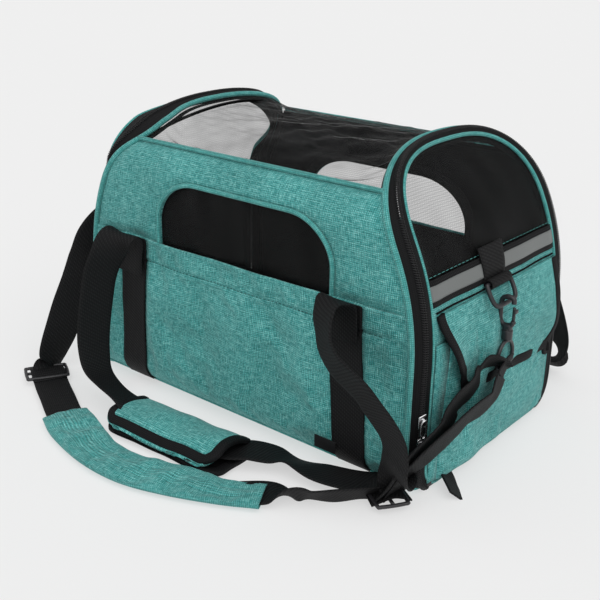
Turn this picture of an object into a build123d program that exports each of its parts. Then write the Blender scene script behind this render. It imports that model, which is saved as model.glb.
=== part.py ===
"""Soft pet transport carrier: a padded fabric shell with mesh windows, two zipped end doors and carrying straps.

X runs along the carrier, -Y is the front with the window and slip pocket, +Z is up and the floor is z = 0.
"""

from build123d import *
import math
import os

os.makedirs("parts", exist_ok=True)

# Shell size
half_length = 219.0
half_depth = 140.0
height = 312.0
floor_gap = 2.0
base_corner = 30.0
shoulder_radius = 56.0
shoulder_height = 236.0
lean_start = 129.0
lean_radius = 256.0
wall = 2.4
sole_half_length = 126.0
sole_half_width = 100.0
clearance = 0.4
reach = 330.0

# Panels and seams
base_top = 32.0
roof_seam = 281.0
piping_radius = 1.8
mesh_thickness = 0.8

# Windows
window_centre = 8.0
window_width = 232.0
window_bottom = 182.0
window_top = 250.0
window_corner = 33.0

# Slip pockets
pocket_half_length = 205.0
pocket_bottom = 36.0
pocket_top = 180.0
pocket_depth = 5.0
pocket_wall = 1.6

# Webbing
webbing_width = 38.0
webbing_thickness = 1.6
doubled_thickness = 5.0
girth_x = 148.0
girth_half_depth = half_depth + 7.0

# Zipper, measured inwards from the shell outline
zip_low = 8.0
coil_inset = 10.8
coil_width = 3.6
slider_width = 11.0
slider_length = 13.0
slider_y = half_depth - coil_inset
slider_surface = half_length + 4.0
pull_length = 16.0
pull_width = 7.0
pull_thickness = 1.4

# Doors
door_inset = 23.8
door_bottom = 5.0
band_bottom = 186.0
band_top = 208.0

# Cargo pocket and its flap on the right door
cargo_half_width = 103.0
cargo_bottom = 12.0
cargo_top = 124.0
cargo_depth = 6.0
flap_top = 177.0
flap_bend = 126.0
flap_bottom = 85.0
flap_thickness = 1.6

# D-ring and snap hook
ring_y = -10.0
ring_bar_x = 224.5
ring_bar_z = 184.0
ring_lean = math.radians(29.3)
ring_drop = 22.7
ring_bar = 4.4
ring_half_width = 24.0
hook_thickness = 6.0
hook_centre_x = 237.6
hook_bar_z = ring_bar_z - ring_drop * math.cos(ring_lean)
hook_bar_x = ring_bar_x + ring_drop * math.sin(ring_lean)
swivel_x = 239.5
eye_low = 99.0
eye_high = 127.0

# Handles, measured from the swing axis through the strap anchors
handle_axis_y = 149.0
handle_axis_z = 178.0
handle_foot_y = 200.0
handle_foot_z = 12.0
handle_foot_x = 185.0
wrap_near = 168.0
wrap_far = 228.0
wrap_left = -96.0
wrap_right = 46.0
wrap_leaf = 5.0
wrap_low = 3.0
wrap_gap = 12.0

# Shoulder strap
pad_centre = (-22.0, -40.0)
pad_radius = 254.0
pad_half_width = 27.0
pad_start = -117.0
pad_end = -54.0
pad_low = 0.8
pad_high = 13.5
strap_low = 4.4
glide_length = 32.0
glide_width = 47.0


def publish(piece, name):
    piece.part.label = name
    export_step(piece.part, f"parts/{name}.step")


def draw_arch(inset, low, mode=Mode.ADD):
    """D-shaped outline of the carrier seen from the end, moved inwards by inset, with its flat bottom at low."""
    half = half_depth - inset
    corner = base_corner - 0.6 * inset
    shoulder = shoulder_radius - inset
    rise = height - shoulder_height
    run = half_depth - shoulder_radius
    crown = (run**2 + rise**2 - shoulder_radius**2) / (2 * (rise - shoulder_radius))
    crown_centre = height - crown
    turn = math.degrees(math.atan2(shoulder_height - crown_centre, run))
    with BuildLine() as edge:
        Line((-half + corner, low), (half - corner, low))
        CenterArc((half - corner, low + corner), corner, -90, 90)
        Line((half, low + corner), (half, shoulder_height))
        CenterArc((run, shoulder_height), shoulder, 0, turn)
        CenterArc((0, crown_centre), crown - inset, turn, 180 - 2 * turn)
        CenterArc((-run, shoulder_height), shoulder, 180 - turn, turn)
        Line((-half, shoulder_height), (-half, low + corner))
        CenterArc((-half + corner, low + corner), corner, 180, 90)
    make_face(edge.edges(), mode=mode)


def end_point(side, radius, angle):
    across = half_length - lean_radius + radius * math.cos(math.radians(angle))
    return (side * across, lean_start + radius * math.sin(math.radians(angle)))


def draw_side_view(inset):
    """Outline of the shell seen from the front: upright ends that lean inwards above lean_start."""
    radius = lean_radius - inset
    with BuildLine() as edge:
        Line((-half_length + inset, -reach), (half_length - inset, -reach))
        for side in (1, -1):
            Line((side * (half_length - inset), -reach), end_point(side, radius, 0))
            ThreePointArc(*[end_point(side, radius, angle) for angle in (0, 25, 50)])
        Line(end_point(1, radius, 50), end_point(-1, radius, 50))
    make_face(edge.edges())


def draw_end_sheet(side, near, far):
    """Strip along one leaning end seen from the front, from near to far outside the end of the shell."""
    inner = lean_radius + near
    outer = lean_radius + far
    with BuildLine() as edge:
        Line((side * (half_length + near), -reach), end_point(side, inner, 0))
        ThreePointArc(*[end_point(side, inner, angle) for angle in (0, 25, 50)])
        Line(end_point(side, inner, 50), end_point(side, outer, 50))
        ThreePointArc(*[end_point(side, outer, angle) for angle in (50, 25, 0)])
        Line(end_point(side, outer, 0), (side * (half_length + far), -reach))
        Line((side * (half_length + far), -reach), (side * (half_length + near), -reach))
    make_face(edge.edges())


def keep_between(low, high, half_width=reach):
    """Trim the sketch being drawn to the heights from low to high."""
    with Locations((0, (low + high) / 2)):
        Rectangle(2 * half_width, high - low, mode=Mode.INTERSECT)


def wall_piece(outer, inner, low, high, across=0, inset=0.0):
    """Length of the shell wall between two insets and two heights; across is -1 front, 1 back, 0 both."""
    with BuildPart() as piece:
        with BuildSketch(Plane.YZ):
            draw_arch(outer, floor_gap + outer)
            draw_arch(inner, floor_gap + inner, mode=Mode.SUBTRACT)
            keep_between(low, high)
            if across:
                with Locations((across * reach / 2, 0)):
                    Rectangle(reach - 2, 2 * reach, mode=Mode.INTERSECT)
        extrude(amount=reach, both=True)
        with BuildSketch(Plane.XZ):
            draw_side_view(inset)
        extrude(amount=reach, both=True, mode=Mode.INTERSECT)
    return piece


def draw_window(grow):
    """Window outline with rounded top corners and square bottom corners."""
    width = window_width + 2 * grow
    tall = window_top - window_bottom + 2 * grow
    corner = window_corner + grow
    low = window_bottom - grow
    with Locations((window_centre, low + (tall - corner) / 2)):
        Rectangle(width, tall - corner)
    with Locations((window_centre, low + tall - corner)):
        RectangleRounded(width, 2 * corner, corner - 0.01)


def end_ring(side, near, far, outer, inner, low, high=reach, closed=False):
    """Band that follows the arch on one end, between two insets from the shell outline."""
    with BuildPart() as piece:
        with BuildSketch(Plane.XZ):
            draw_end_sheet(side, near, far)
        extrude(amount=reach, both=True)
        with BuildSketch(Plane.YZ):
            draw_arch(outer, low if closed else door_bottom)
            if inner is not None:
                draw_arch(inner, low + inner - outer if closed else door_bottom, mode=Mode.SUBTRACT)
            keep_between(low, high)
        extrude(amount=reach, both=True, mode=Mode.INTERSECT)
    return piece


def turned(source, pivot, target, angle):
    """Copy of a piece turned about an X-direction line through pivot and moved so that pivot lands on target."""
    with BuildPart() as copy:
        add(source.part.moved(Pos(*target) * Rot(angle, 0, 0) * Pos(*[-value for value in pivot])))
    return copy


def mirrored(source):
    with BuildPart() as copy:
        add(source.part.mirror(Plane.YZ))
    return copy


def joined(*sources):
    with BuildPart() as pair:
        for source in sources:
            add(source.part)
    return pair


def slab(corner, far_corner):
    """Plain block between two opposite corners."""
    middle = [(a + b) / 2 for a, b in zip(corner, far_corner)]
    size = [abs(a - b) for a, b in zip(corner, far_corner)]
    with BuildPart() as block:
        with Locations(tuple(middle)):
            Box(*size)
    return block


# Base: fabric tray whose sole sags to the floor between the straps, stiff board and padded mat
sole = slab((-sole_half_length, -sole_half_width, 0), (sole_half_length, sole_half_width, floor_gap + wall))
publish(joined(wall_piece(0, wall, 0, base_top), sole), "base_panel")
with BuildPart() as base_board:
    with BuildSketch(Plane.XY.offset(floor_gap + wall + clearance)):
        RectangleRounded(400, 216, 20)
    extrude(amount=3)
publish(base_board, "base_board")
with BuildPart() as floor_mat:
    with BuildSketch(Plane.XY.offset(floor_gap + wall + 4)):
        RectangleRounded(398, 222, 24)
    extrude(amount=12)
    fillet(floor_mat.edges().group_by(Axis.Z)[-1], 4)
publish(floor_mat, "floor_mat")

# Front and back: padded panel, window mesh, window piping and slip pocket
for across, name in ((-1, "front"), (1, "back")):
    panel = wall_piece(0, wall, base_top + clearance, roof_seam - 2, across)
    with BuildPart() as cut_panel:
        add(panel.part)
        with BuildSketch(Plane.XZ):
            draw_window(0)
        extrude(amount=-across * reach, mode=Mode.SUBTRACT)
    publish(cut_panel, f"{name}_panel")
    net = wall_piece(mesh_thickness, 2 * mesh_thickness, base_top, roof_seam, across)
    with BuildPart() as window_mesh:
        add(net.part)
        with BuildSketch(Plane.XZ):
            draw_window(-clearance)
        extrude(amount=-across * reach, mode=Mode.INTERSECT)
    publish(window_mesh, f"{name}_window_mesh")
    with BuildPart() as window_piping:
        with BuildSketch(Plane.XZ.offset(-across * (half_depth + clearance))):
            draw_window(piping_radius)
        extrude(amount=-across * 2 * piping_radius)
        with BuildSketch(Plane.XZ):
            draw_window(-piping_radius)
        extrude(amount=-across * reach, mode=Mode.SUBTRACT)
    publish(window_piping, f"{name}_window_piping")
    face = across * (half_depth + pocket_depth)
    with BuildPart() as slip_pocket:
        with Locations((0, across * (half_depth + (pocket_depth + clearance) / 2), (pocket_bottom + pocket_top) / 2)):
            Box(2 * pocket_half_length, pocket_depth - clearance, pocket_top - pocket_bottom)
        with Locations((0, across * (half_depth + (pocket_depth - pocket_wall) / 2), pocket_top)):
            Box(
                2 * (pocket_half_length - pocket_wall),
                pocket_depth - pocket_wall,
                2 * (pocket_top - pocket_bottom - pocket_wall),
                mode=Mode.SUBTRACT,
            )
    publish(slip_pocket, f"{name}_slip_pocket")
label_y = half_depth + pocket_depth
publish(slab((97, -label_y - 1.0, 38), (126, -label_y - clearance, 57)), "blank_label")

# Roof: one mesh panel with piped seams along front and back
publish(wall_piece(mesh_thickness, 2 * mesh_thickness, roof_seam + 2, reach), "roof_mesh")
seam_angle = math.asin((roof_seam - shoulder_height) / shoulder_radius)
seam_y = half_depth - shoulder_radius + (shoulder_radius - wall / 2) * math.cos(seam_angle)
roof_half_length = half_length - lean_radius + math.sqrt(lean_radius**2 - (roof_seam - lean_start) ** 2) - 2
with BuildPart() as roof_piping:
    with Locations((0, -seam_y, roof_seam), (0, seam_y, roof_seam)):
        Cylinder(piping_radius, 2 * roof_half_length, rotation=(0, 90, 0))
publish(roof_piping, "roof_piping")

# Piping, zipper and hoop round each end of the shell
shell_edge = [end_ring(side, 0.3, 3.8, -1.5, 2.2, 0.5, closed=True) for side in (-1, 1)]
shell_tape = [end_ring(side, 1.0, 2.2, 2.6, 8.6, zip_low) for side in (-1, 1)]
coil_edges = (coil_inset - coil_width / 2, coil_inset + coil_width / 2)
zip_coil = [end_ring(side, 0.4, 3.4, *coil_edges, zip_low) for side in (-1, 1)]
hoop = [end_ring(side, -12.0, -8.8, wall + 0.6, wall + 3.8, 5.2, closed=True) for side in (-1, 1)]
publish(joined(*shell_edge), "end_piping")
publish(joined(*shell_tape), "shell_zip_tape")
publish(joined(*zip_coil), "zip_coils")
publish(joined(*hoop), "wire_hoops")

# Webbing that runs down the front, under the base and up the back
with BuildPart() as girth_webbing:
    for middle in (-girth_x, girth_x):
        with BuildSketch(Plane.YZ.offset(middle)) as loop:
            with Locations((0, pocket_top / 2)):
                Rectangle(2 * girth_half_depth, pocket_top)
            fillet(loop.vertices().group_by(Axis.Y)[0], 34)
            with BuildSketch(mode=Mode.SUBTRACT) as inside:
                with Locations((0, pocket_top / 2 + webbing_thickness)):
                    Rectangle(2 * (girth_half_depth - webbing_thickness), pocket_top)
                fillet(inside.vertices().group_by(Axis.Y)[0], 34 - webbing_thickness)
        extrude(amount=webbing_width / 2, both=True)
publish(girth_webbing, "girth_webbing")

# Doors: lower fabric panel, mesh, edge with its half of the zipper tape, band and ring tab
for side, name in ((1, "right"), (-1, "left")):
    publish(end_ring(side, 1.0, 2.6, door_inset, None, door_bottom, band_bottom), f"{name}_door_panel")
    publish(end_ring(side, 1.4, 2.2, door_inset, None, band_bottom + clearance), f"{name}_door_mesh")
    tape = end_ring(side, 1.0, 2.2, 16.9, 20.6, zip_low)
    bead = end_ring(side, 0.6, 4.4, 20.2, 23.4, zip_low)
    with BuildPart() as door_edge:
        add(tape.part)
        add(bead.part)
    publish(door_edge, f"{name}_door_edge")
    publish(end_ring(side, 3.0, 4.2, door_inset + 1, None, band_bottom, band_top), f"{name}_band")
    with BuildPart() as ring_tab:
        with BuildSketch(Plane.XZ.offset(-ring_y)):
            with BuildLine():
                Polyline(
                    (side * 210.8, 211),
                    (side * 213.1, 211.6),
                    (side * 222.4, 188.0),
                    (side * 219.9, 184.0),
                    close=True,
                )
            make_face()
            with Locations((side * ring_bar_x, ring_bar_z)):
                Circle(5.2)
                Circle(3.4, mode=Mode.SUBTRACT)
        extrude(amount=webbing_width / 2, both=True)
    publish(ring_tab, f"{name}_ring_tab")

# Cargo pocket with its flap
cargo_face = half_length + 2.6 + clearance + cargo_depth
with BuildPart() as cargo_pocket:
    with Locations((cargo_face - cargo_depth / 2, 0, (cargo_bottom + cargo_top) / 2)):
        Box(cargo_depth, 2 * cargo_half_width, cargo_top - cargo_bottom)
    with Locations((cargo_face - pocket_wall - cargo_depth / 2, 0, cargo_top)):
        Box(
            cargo_depth,
            2 * (cargo_half_width - pocket_wall),
            2 * (cargo_top - cargo_bottom - pocket_wall),
            mode=Mode.SUBTRACT,
        )
publish(cargo_pocket, "cargo_pocket")
flap_x = cargo_face + clearance
with BuildPart() as cargo_flap:
    with BuildSketch(Plane.XZ):
        with BuildLine():
            Polyline(
                (218.4, flap_top),
                (218.4 + flap_thickness, flap_top),
                (flap_x + flap_thickness, flap_bend),
                (flap_x + flap_thickness, flap_bottom),
                (flap_x, flap_bottom),
                (flap_x, flap_bend),
                close=True,
            )
        make_face()
    extrude(amount=cargo_half_width + 3, both=True)
publish(cargo_flap, "cargo_flap")

# D-ring, snap hook, gate and swivel eye
ring_plane = Plane(
    origin=(ring_bar_x, ring_y, ring_bar_z),
    x_dir=(0, 1, 0),
    z_dir=(math.cos(ring_lean), 0, math.sin(ring_lean)),
)
with BuildPart() as right_ring:
    with BuildSketch(ring_plane) as ring_outline:
        with Locations((0, -ring_drop / 2)):
            Rectangle(2 * ring_half_width, ring_drop + ring_bar)
        fillet(ring_outline.vertices().group_by(Axis.Y)[0], 9)
    extrude(amount=ring_bar / 2, both=True)
    with BuildSketch(ring_plane) as ring_hole:
        with Locations((0, -ring_drop / 2)):
            Rectangle(2 * (ring_half_width - ring_bar), ring_drop - ring_bar)
        fillet(ring_hole.vertices().group_by(Axis.Y)[0], 5)
    extrude(amount=ring_bar / 2, both=True, mode=Mode.SUBTRACT)
with BuildPart() as right_hook:
    with BuildSketch(Plane.XZ.offset(-ring_y)) as hook_outline:
        with Locations((hook_centre_x, 153)):
            Rectangle(18, 37.6)
        fillet(hook_outline.vertices().group_by(Axis.Y)[-1], 8)
        with Locations((hook_centre_x - 0.2, 156.9)):
            RectangleRounded(10.8, 21.8, 3.4, mode=Mode.SUBTRACT)
        with Locations((244.8, 153.9)):
            Rectangle(4.4, 16, mode=Mode.SUBTRACT)
    extrude(amount=hook_thickness / 2, both=True)
    with Locations((swivel_x, ring_y, 130.9)):
        Cylinder(5.5, 7.2)
    with Locations((swivel_x, ring_y, 129.7)):
        Cylinder(2.8, 6, mode=Mode.SUBTRACT)
right_gate = slab((243.2, ring_y - 2.5, 146.6), (246.2, ring_y + 2.5, 161.2))
with BuildPart() as right_eye:
    with BuildSketch(Plane.YZ.offset(swivel_x)):
        with Locations((ring_y, (eye_low + eye_high) / 2)):
            RectangleRounded(46, eye_high - eye_low, 6)
        with Locations((ring_y, eye_low + 13)):
            RectangleRounded(39.6, 18, 3, mode=Mode.SUBTRACT)
    extrude(amount=2.5, both=True)
    with Locations((swivel_x, ring_y, eye_high + 1.8)):
        Cylinder(2.2, 4.6)
with BuildPart() as right_strap_loop:
    with BuildSketch(Plane.XZ.offset(-ring_y)):
        with Locations((swivel_x, 97.8)):
            RectangleRounded(9.2, 15.6, 2.5)
            RectangleRounded(6.2, 12.6, 1.5, mode=Mode.SUBTRACT)
    extrude(amount=webbing_width / 2, both=True)

# The left hook is pulled forward, so it lies level and hangs on the side arm of its ring
pivot = (-hook_bar_x - 1.6, ring_y, hook_bar_z)
arm = (
    -ring_bar_x - ring_drop / 2 * math.sin(ring_lean),
    ring_y - ring_half_width + ring_bar / 2,
    ring_bar_z - ring_drop / 2 * math.cos(ring_lean),
)
publish(right_ring, "right_d_ring")
publish(mirrored(right_ring), "left_d_ring")
for right_piece, name in (
    (right_hook, "snap_hook"),
    (right_gate, "hook_gate"),
    (right_eye, "swivel_eye"),
    (right_strap_loop, "strap_loop"),
):
    publish(right_piece, f"right_{name}")
    publish(turned(mirrored(right_piece), pivot, arm, -90), f"left_{name}")


def strap_strip(side, near, points):
    """Doubled webbing in an upright plane near one end, drawn through outline points given as (y, z)."""
    with BuildPart() as strip:
        with BuildSketch(Plane.YZ.offset(side * near)):
            with BuildLine():
                Polyline(*points, close=True)
            make_face()
        extrude(amount=side * doubled_thickness)
    return strip


publish(strap_strip(1, 236, [(-19, 52), (-41, 83), (-99, 40), (-77, 10)]), "right_strap_upper")
publish(strap_strip(1, 236, [(-128, 3), (-128, 32), (-150, 30), (-166, 3)]), "right_strap_lower")
publish(strap_strip(-1, 231, [(-110, 156), (-112, 190), (-164, 134), (-140, 104)]), "left_strap_upper")
publish(strap_strip(-1, 231, [(-145, 98), (-170, 127), (-214, 30), (-206, 11), (-184, 11)]), "left_strap_lower")


def lying_strip(start, finish, width, low, high):
    """Flat strip lying level between two floor points."""
    length = math.dist(start, finish)
    angle = math.degrees(math.atan2(finish[1] - start[1], finish[0] - start[0]))
    middle = ((start[0] + finish[0]) / 2, (start[1] + finish[1]) / 2)
    with BuildPart() as strip:
        with BuildSketch(Plane.XY.offset(low)):
            with Locations(Location((*middle, 0), (0, 0, angle))):
                Rectangle(length, width)
        extrude(amount=high - low)
    return strip


def ladder_glide(middle, angle):
    """Three-bar strap adjuster lying over the webbing, open underneath for the webbing to pass."""
    with BuildPart() as glide:
        with BuildSketch(Plane.XY.offset(0.6)):
            with Locations(Location((*middle, 0), (0, 0, angle))):
                RectangleRounded(glide_length, glide_width, 4)
        extrude(amount=8.4)
        with BuildSketch(Plane.XY.offset(0.6)):
            with Locations(Location((*middle, 0), (0, 0, angle))):
                Rectangle(2 * glide_length, webbing_width + 1)
        extrude(amount=5.6, mode=Mode.SUBTRACT)
        with BuildSketch(Plane.XY.offset(0.6)):
            with Locations(Location((*middle, 0), (0, 0, angle))):
                with Locations((-7.2, 0), (7.2, 0)):
                    Rectangle(7.4, webbing_width + 1)
        extrude(amount=9, mode=Mode.SUBTRACT)
    return glide


def pad_point(radius, angle):
    return (
        pad_centre[0] + radius * math.cos(math.radians(angle)),
        pad_centre[1] + radius * math.sin(math.radians(angle)),
    )


def draw_pad_sector(half_width, start, finish):
    middle = (start + finish) / 2
    inner = pad_radius - half_width
    outer = pad_radius + half_width
    with BuildLine() as edge:
        ThreePointArc(*[pad_point(inner, angle) for angle in (start, middle, finish)])
        Line(pad_point(inner, finish), pad_point(outer, finish))
        ThreePointArc(*[pad_point(outer, angle) for angle in (finish, middle, start)])
        Line(pad_point(outer, start), pad_point(inner, start))
    make_face(edge.edges())


# Shoulder strap on the floor: curved sleeve over curved webbing, with a straight run and a glide at each end
right_end = pad_point(pad_radius, pad_end + 6)
left_end = pad_point(pad_radius, pad_start - 5)
right_run = (right_end, (224, -178))
left_run = (left_end, (-262, -196))
strap_high = strap_low + webbing_thickness
with BuildPart() as shoulder_webbing:
    with BuildSketch(Plane.XY.offset(strap_low)):
        draw_pad_sector(webbing_width / 2, pad_start - 8, pad_end + 8)
    extrude(amount=webbing_thickness)
    for run in (right_run, left_run):
        add(lying_strip(*run, webbing_width, strap_low, strap_high).part)
publish(shoulder_webbing, "shoulder_webbing")
with BuildPart() as shoulder_pad:
    with BuildSketch(Plane.XY.offset(pad_low)):
        draw_pad_sector(pad_half_width, pad_start, pad_end)
    extrude(amount=pad_high - pad_low)
    fillet(shoulder_pad.edges().filter_by(GeomType.CIRCLE), 2.5)
    with BuildSketch(Plane.XY.offset(strap_low - 0.8)):
        draw_pad_sector(webbing_width / 2 + 1, pad_start - 8, pad_end + 8)
    extrude(amount=webbing_thickness + 1.6, mode=Mode.SUBTRACT)
publish(shoulder_pad, "shoulder_pad")


def run_angle(run):
    return math.degrees(math.atan2(run[1][1] - run[0][1], run[1][0] - run[0][0]))


publish(ladder_glide((205, -191), run_angle(right_run)), "right_ladder_glide")
publish(ladder_glide((-246, -205), run_angle(left_run)), "left_ladder_glide")


def handle(across):
    """Webbing loop that leaves the strap anchors, splays out to the floor and runs level along the carrier."""
    slope = math.hypot(handle_foot_y - handle_axis_y, handle_axis_z - handle_foot_z)
    plane = Plane(
        origin=(0, across * handle_axis_y, handle_axis_z),
        x_dir=(1, 0, 0),
        z_dir=(0, across * (handle_axis_z - handle_foot_z), handle_foot_y - handle_axis_y),
    )
    half = webbing_width / 2
    with BuildPart() as loop:
        with BuildSketch(plane):
            for end in (-1, 1):
                with BuildLine():
                    Polyline(
                        (end * girth_x - half, across * 3),
                        (end * girth_x + half, across * 3),
                        (end * handle_foot_x + half, across * slope),
                        (end * handle_foot_x - half, across * slope),
                        close=True,
                    )
                make_face()
        extrude(amount=webbing_thickness)
        with Locations((0, across * handle_foot_y, handle_foot_z)):
            Box(2 * (handle_foot_x + half), webbing_width, 2 * webbing_thickness)
    return loop


publish(handle(-1), "front_handle")
publish(handle(1), "back_handle")

# Padded wrap that folds over the front handle and closes on itself
leaf_top = wrap_low + wrap_leaf
flap_low = leaf_top + wrap_gap
with BuildPart() as wrap_base:
    with BuildSketch(Plane.YZ.offset(wrap_left)):
        with Locations((-(wrap_near + wrap_far) / 2, wrap_low + wrap_leaf / 2)):
            Rectangle(wrap_far - wrap_near, wrap_leaf)
        with Locations((-wrap_near - 2, (wrap_low + flap_low) / 2)):
            Rectangle(4, flap_low - wrap_low - 0.6)
    extrude(amount=wrap_right - wrap_left)
    fillet(wrap_base.edges().filter_by(Axis.X).group_by(Axis.Z)[0], 2)
publish(wrap_base, "wrap_base")
with BuildPart() as wrap_flap:
    with BuildSketch(Plane.XY.offset(flap_low)):
        with Locations(((wrap_left + wrap_right) / 2, -(wrap_near + wrap_far) / 2)):
            RectangleRounded(wrap_right - wrap_left, wrap_far - wrap_near, 14)
    extrude(amount=wrap_leaf)
publish(wrap_flap, "wrap_flap")


def zip_slider(side, across, level):
    outer = slider_surface + 2.6
    low = level - slider_length / 2
    middle = across * slider_y
    return slab(
        (side * (slider_surface - clearance), middle - slider_width / 2, low),
        (side * outer, middle + slider_width / 2, low + slider_length),
    )


def zip_pull(side, across, level):
    inner = slider_surface + 2.6 + clearance
    middle = across * slider_y
    return slab(
        (side * inner, middle - pull_width / 2, level - pull_length),
        (side * (inner + pull_thickness), middle + pull_width / 2, level),
    )


# Zip sliders and pulls: two at the front of the right end, one at the back of the left end
for side, across, level, name in (
    (1, -1, 78, "right_upper"),
    (1, -1, 54, "right_lower"),
    (-1, 1, 70, "left"),
):
    publish(zip_slider(side, across, level), f"{name}_slider")
    publish(zip_pull(side, across, level), f"{name}_pull")
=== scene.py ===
"""Looks of a soft pet carrier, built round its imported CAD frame.

Lengths are in metres. +X points to the end with the cargo pocket, -Y to the front window.
"""

import math
from collections import namedtuple

import bmesh
import bpy
import numpy as np
from mathutils import Matrix, Vector


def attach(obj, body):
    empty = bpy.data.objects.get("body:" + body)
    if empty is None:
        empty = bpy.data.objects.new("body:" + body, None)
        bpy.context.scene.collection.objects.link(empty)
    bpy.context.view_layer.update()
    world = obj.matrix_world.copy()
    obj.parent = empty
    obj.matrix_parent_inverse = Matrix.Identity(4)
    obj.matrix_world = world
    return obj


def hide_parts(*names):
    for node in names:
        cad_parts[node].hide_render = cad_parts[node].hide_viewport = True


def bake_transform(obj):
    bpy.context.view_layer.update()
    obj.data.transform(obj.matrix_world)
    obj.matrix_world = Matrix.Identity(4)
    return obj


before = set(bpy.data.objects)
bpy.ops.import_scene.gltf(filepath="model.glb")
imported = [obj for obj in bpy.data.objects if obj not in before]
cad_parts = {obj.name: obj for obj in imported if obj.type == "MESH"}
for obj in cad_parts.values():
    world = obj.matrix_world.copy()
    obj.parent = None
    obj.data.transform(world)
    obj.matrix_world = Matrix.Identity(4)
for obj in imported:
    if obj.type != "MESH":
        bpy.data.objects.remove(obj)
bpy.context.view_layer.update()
MM = 0.001

# Shell shape
END_X = 0.215
DOOR_X = 0.2235
FRONT = -1
BACK = 1
LEAN_START = 0.129
ROOF_SEAM = 0.281
POCKET_TOP = 0.180
BAND_LOW = 0.185
BAND_HIGH = 0.209
GIRTH_X = 0.148
LINING_DEPTH = -3.6 * MM
HEM_DEPTH = 0.024
DOOR_CORD_HALF = 0.1165
WEBBING = 0.038


# ---------------------------------------------------------------- small tools
def unit(vectors):
    vectors = np.asarray(vectors, float)
    return vectors / np.maximum(np.linalg.norm(vectors, axis=-1, keepdims=True), 1e-9)


def smoothstep(low, high, value):
    t = np.clip((np.asarray(value, float) - low) / (high - low), 0, 1)
    return t * t * (3 - 2 * t)


def bell(distance, width, power=2):
    """1 at no distance, falling to nothing past the width."""
    return np.exp(-((distance / width) ** power))


def ripples(points, wavelength, seed, count=9):
    """Smooth random waves in -1..1, the same every time for one seed."""
    random = np.random.default_rng(seed)
    points = np.asarray(points, float)
    total = np.zeros(points.shape[:-1])
    for _ in range(count):
        direction = unit(random.normal(size=points.shape[-1]))
        length = wavelength * random.uniform(0.6, 1.7)
        total += np.sin(points @ direction * 2 * math.pi / length + random.uniform(0, 6.28))
    return total / math.sqrt(count)


def spline(controls, count, closed=False):
    """Points evenly spaced along a smooth curve through the controls."""
    controls = np.asarray(controls, float)
    if closed:
        padded = np.vstack([controls[-1], controls, controls[0], controls[1]])
    else:
        padded = np.vstack([2 * controls[0] - controls[1], controls, 2 * controls[-1] - controls[-2]])
    dense = []
    for a, b, c, d in zip(padded, padded[1:], padded[2:], padded[3:]):
        square = 2 * a - 5 * b + 4 * c - d
        cube = 3 * b - a - 3 * c + d
        for t in np.linspace(0, 1, 24, endpoint=False):
            dense.append(0.5 * (2 * b + (c - a) * t + square * t**2 + cube * t**3))
    dense.append(controls[0] if closed else controls[-1])
    return resample(np.array(dense), count, closed)


def resample(points, count, closed=False):
    """Points evenly spaced along a line; columns after the third are carried along."""
    points = np.asarray(points, float)
    length = np.concatenate([[0], np.cumsum(np.linalg.norm(np.diff(points[:, :3], axis=0), axis=1))])
    at = np.linspace(0, length[-1], count + 1)[:-1] if closed else np.linspace(0, length[-1], count)
    return np.stack([np.interp(at, length, column) for column in points.T], axis=1)


def add_mesh(name, vertices, faces, uvs, material):
    """Mesh object from points, faces and one UV per point, in metres."""
    mesh = bpy.data.meshes.new(name)
    mesh.from_pydata([tuple(v) for v in vertices], [], [tuple(f) for f in faces])
    layer = mesh.uv_layers.new(name="UVMap")
    index = np.zeros(len(mesh.loops), int)
    mesh.loops.foreach_get("vertex_index", index)
    layer.data.foreach_set("uv", np.asarray(uvs, float)[index].ravel())
    mesh.polygons.foreach_set("use_smooth", [True] * len(mesh.polygons))
    mesh.materials.append(material)
    mesh.update()
    piece = bpy.data.objects.new(name, mesh)
    bpy.context.scene.collection.objects.link(piece)
    return piece


def spread(across, down):
    """Two arrays, rows x columns: a value running across and one running down, as (start, end, count)."""
    return np.meshgrid(np.linspace(*across), np.linspace(*down))


def grid_faces(rows, columns, wrap=False, flip=False):
    faces = []
    for i in range(rows - 1):
        for j in range(columns if wrap else columns - 1):
            k = (j + 1) % columns
            face = (i * columns + j, i * columns + k, (i + 1) * columns + k, (i + 1) * columns + j)
            faces.append(face[::-1] if flip else face)
    return faces


def sheet(name, points, uvs, material, inside=(0, 0, 0.13), inward=False):
    """Open surface from a rows x columns array of points, facing away from the point inside."""
    rows, columns = points.shape[:2]
    normals = grid_normals(points)
    outwards = np.mean(np.sum(normals * (points - np.array(inside)), axis=-1)) > 0
    faces = grid_faces(rows, columns, flip=outwards == inward)
    return add_mesh(name, points.reshape(-1, 3), faces, uvs.reshape(-1, 2), material)


def grid_normals(points):
    return unit(np.cross(np.gradient(points, axis=1), np.gradient(points, axis=0)))


def grid_sample(grid, row, column):
    """Bilinear reading of a rows x columns grid of points."""
    rows, columns = grid.shape[:2]
    row = np.clip(row, 0, rows - 1.001)
    column = np.clip(column, 0, columns - 1.001)
    i, j = row.astype(int), column.astype(int)
    a, b = (row - i)[..., None], (column - j)[..., None]
    near = grid[i, j] * (1 - b) + grid[i, j + 1] * b
    far = grid[i + 1, j] * (1 - b) + grid[i + 1, j + 1] * b
    return near * (1 - a) + far * a


def mesh_points(piece):
    points = np.zeros(len(piece.data.vertices) * 3)
    piece.data.vertices.foreach_get("co", points)
    return points.reshape(-1, 3)


def thicken(piece, thickness, offset=-1.0):
    """Give a sheet its thickness: inwards at offset -1, both ways at 0, outwards at 1."""
    solid = piece.modifiers.new("thickness", "SOLIDIFY")
    solid.thickness = thickness
    solid.offset = offset
    return apply(piece)


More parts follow.
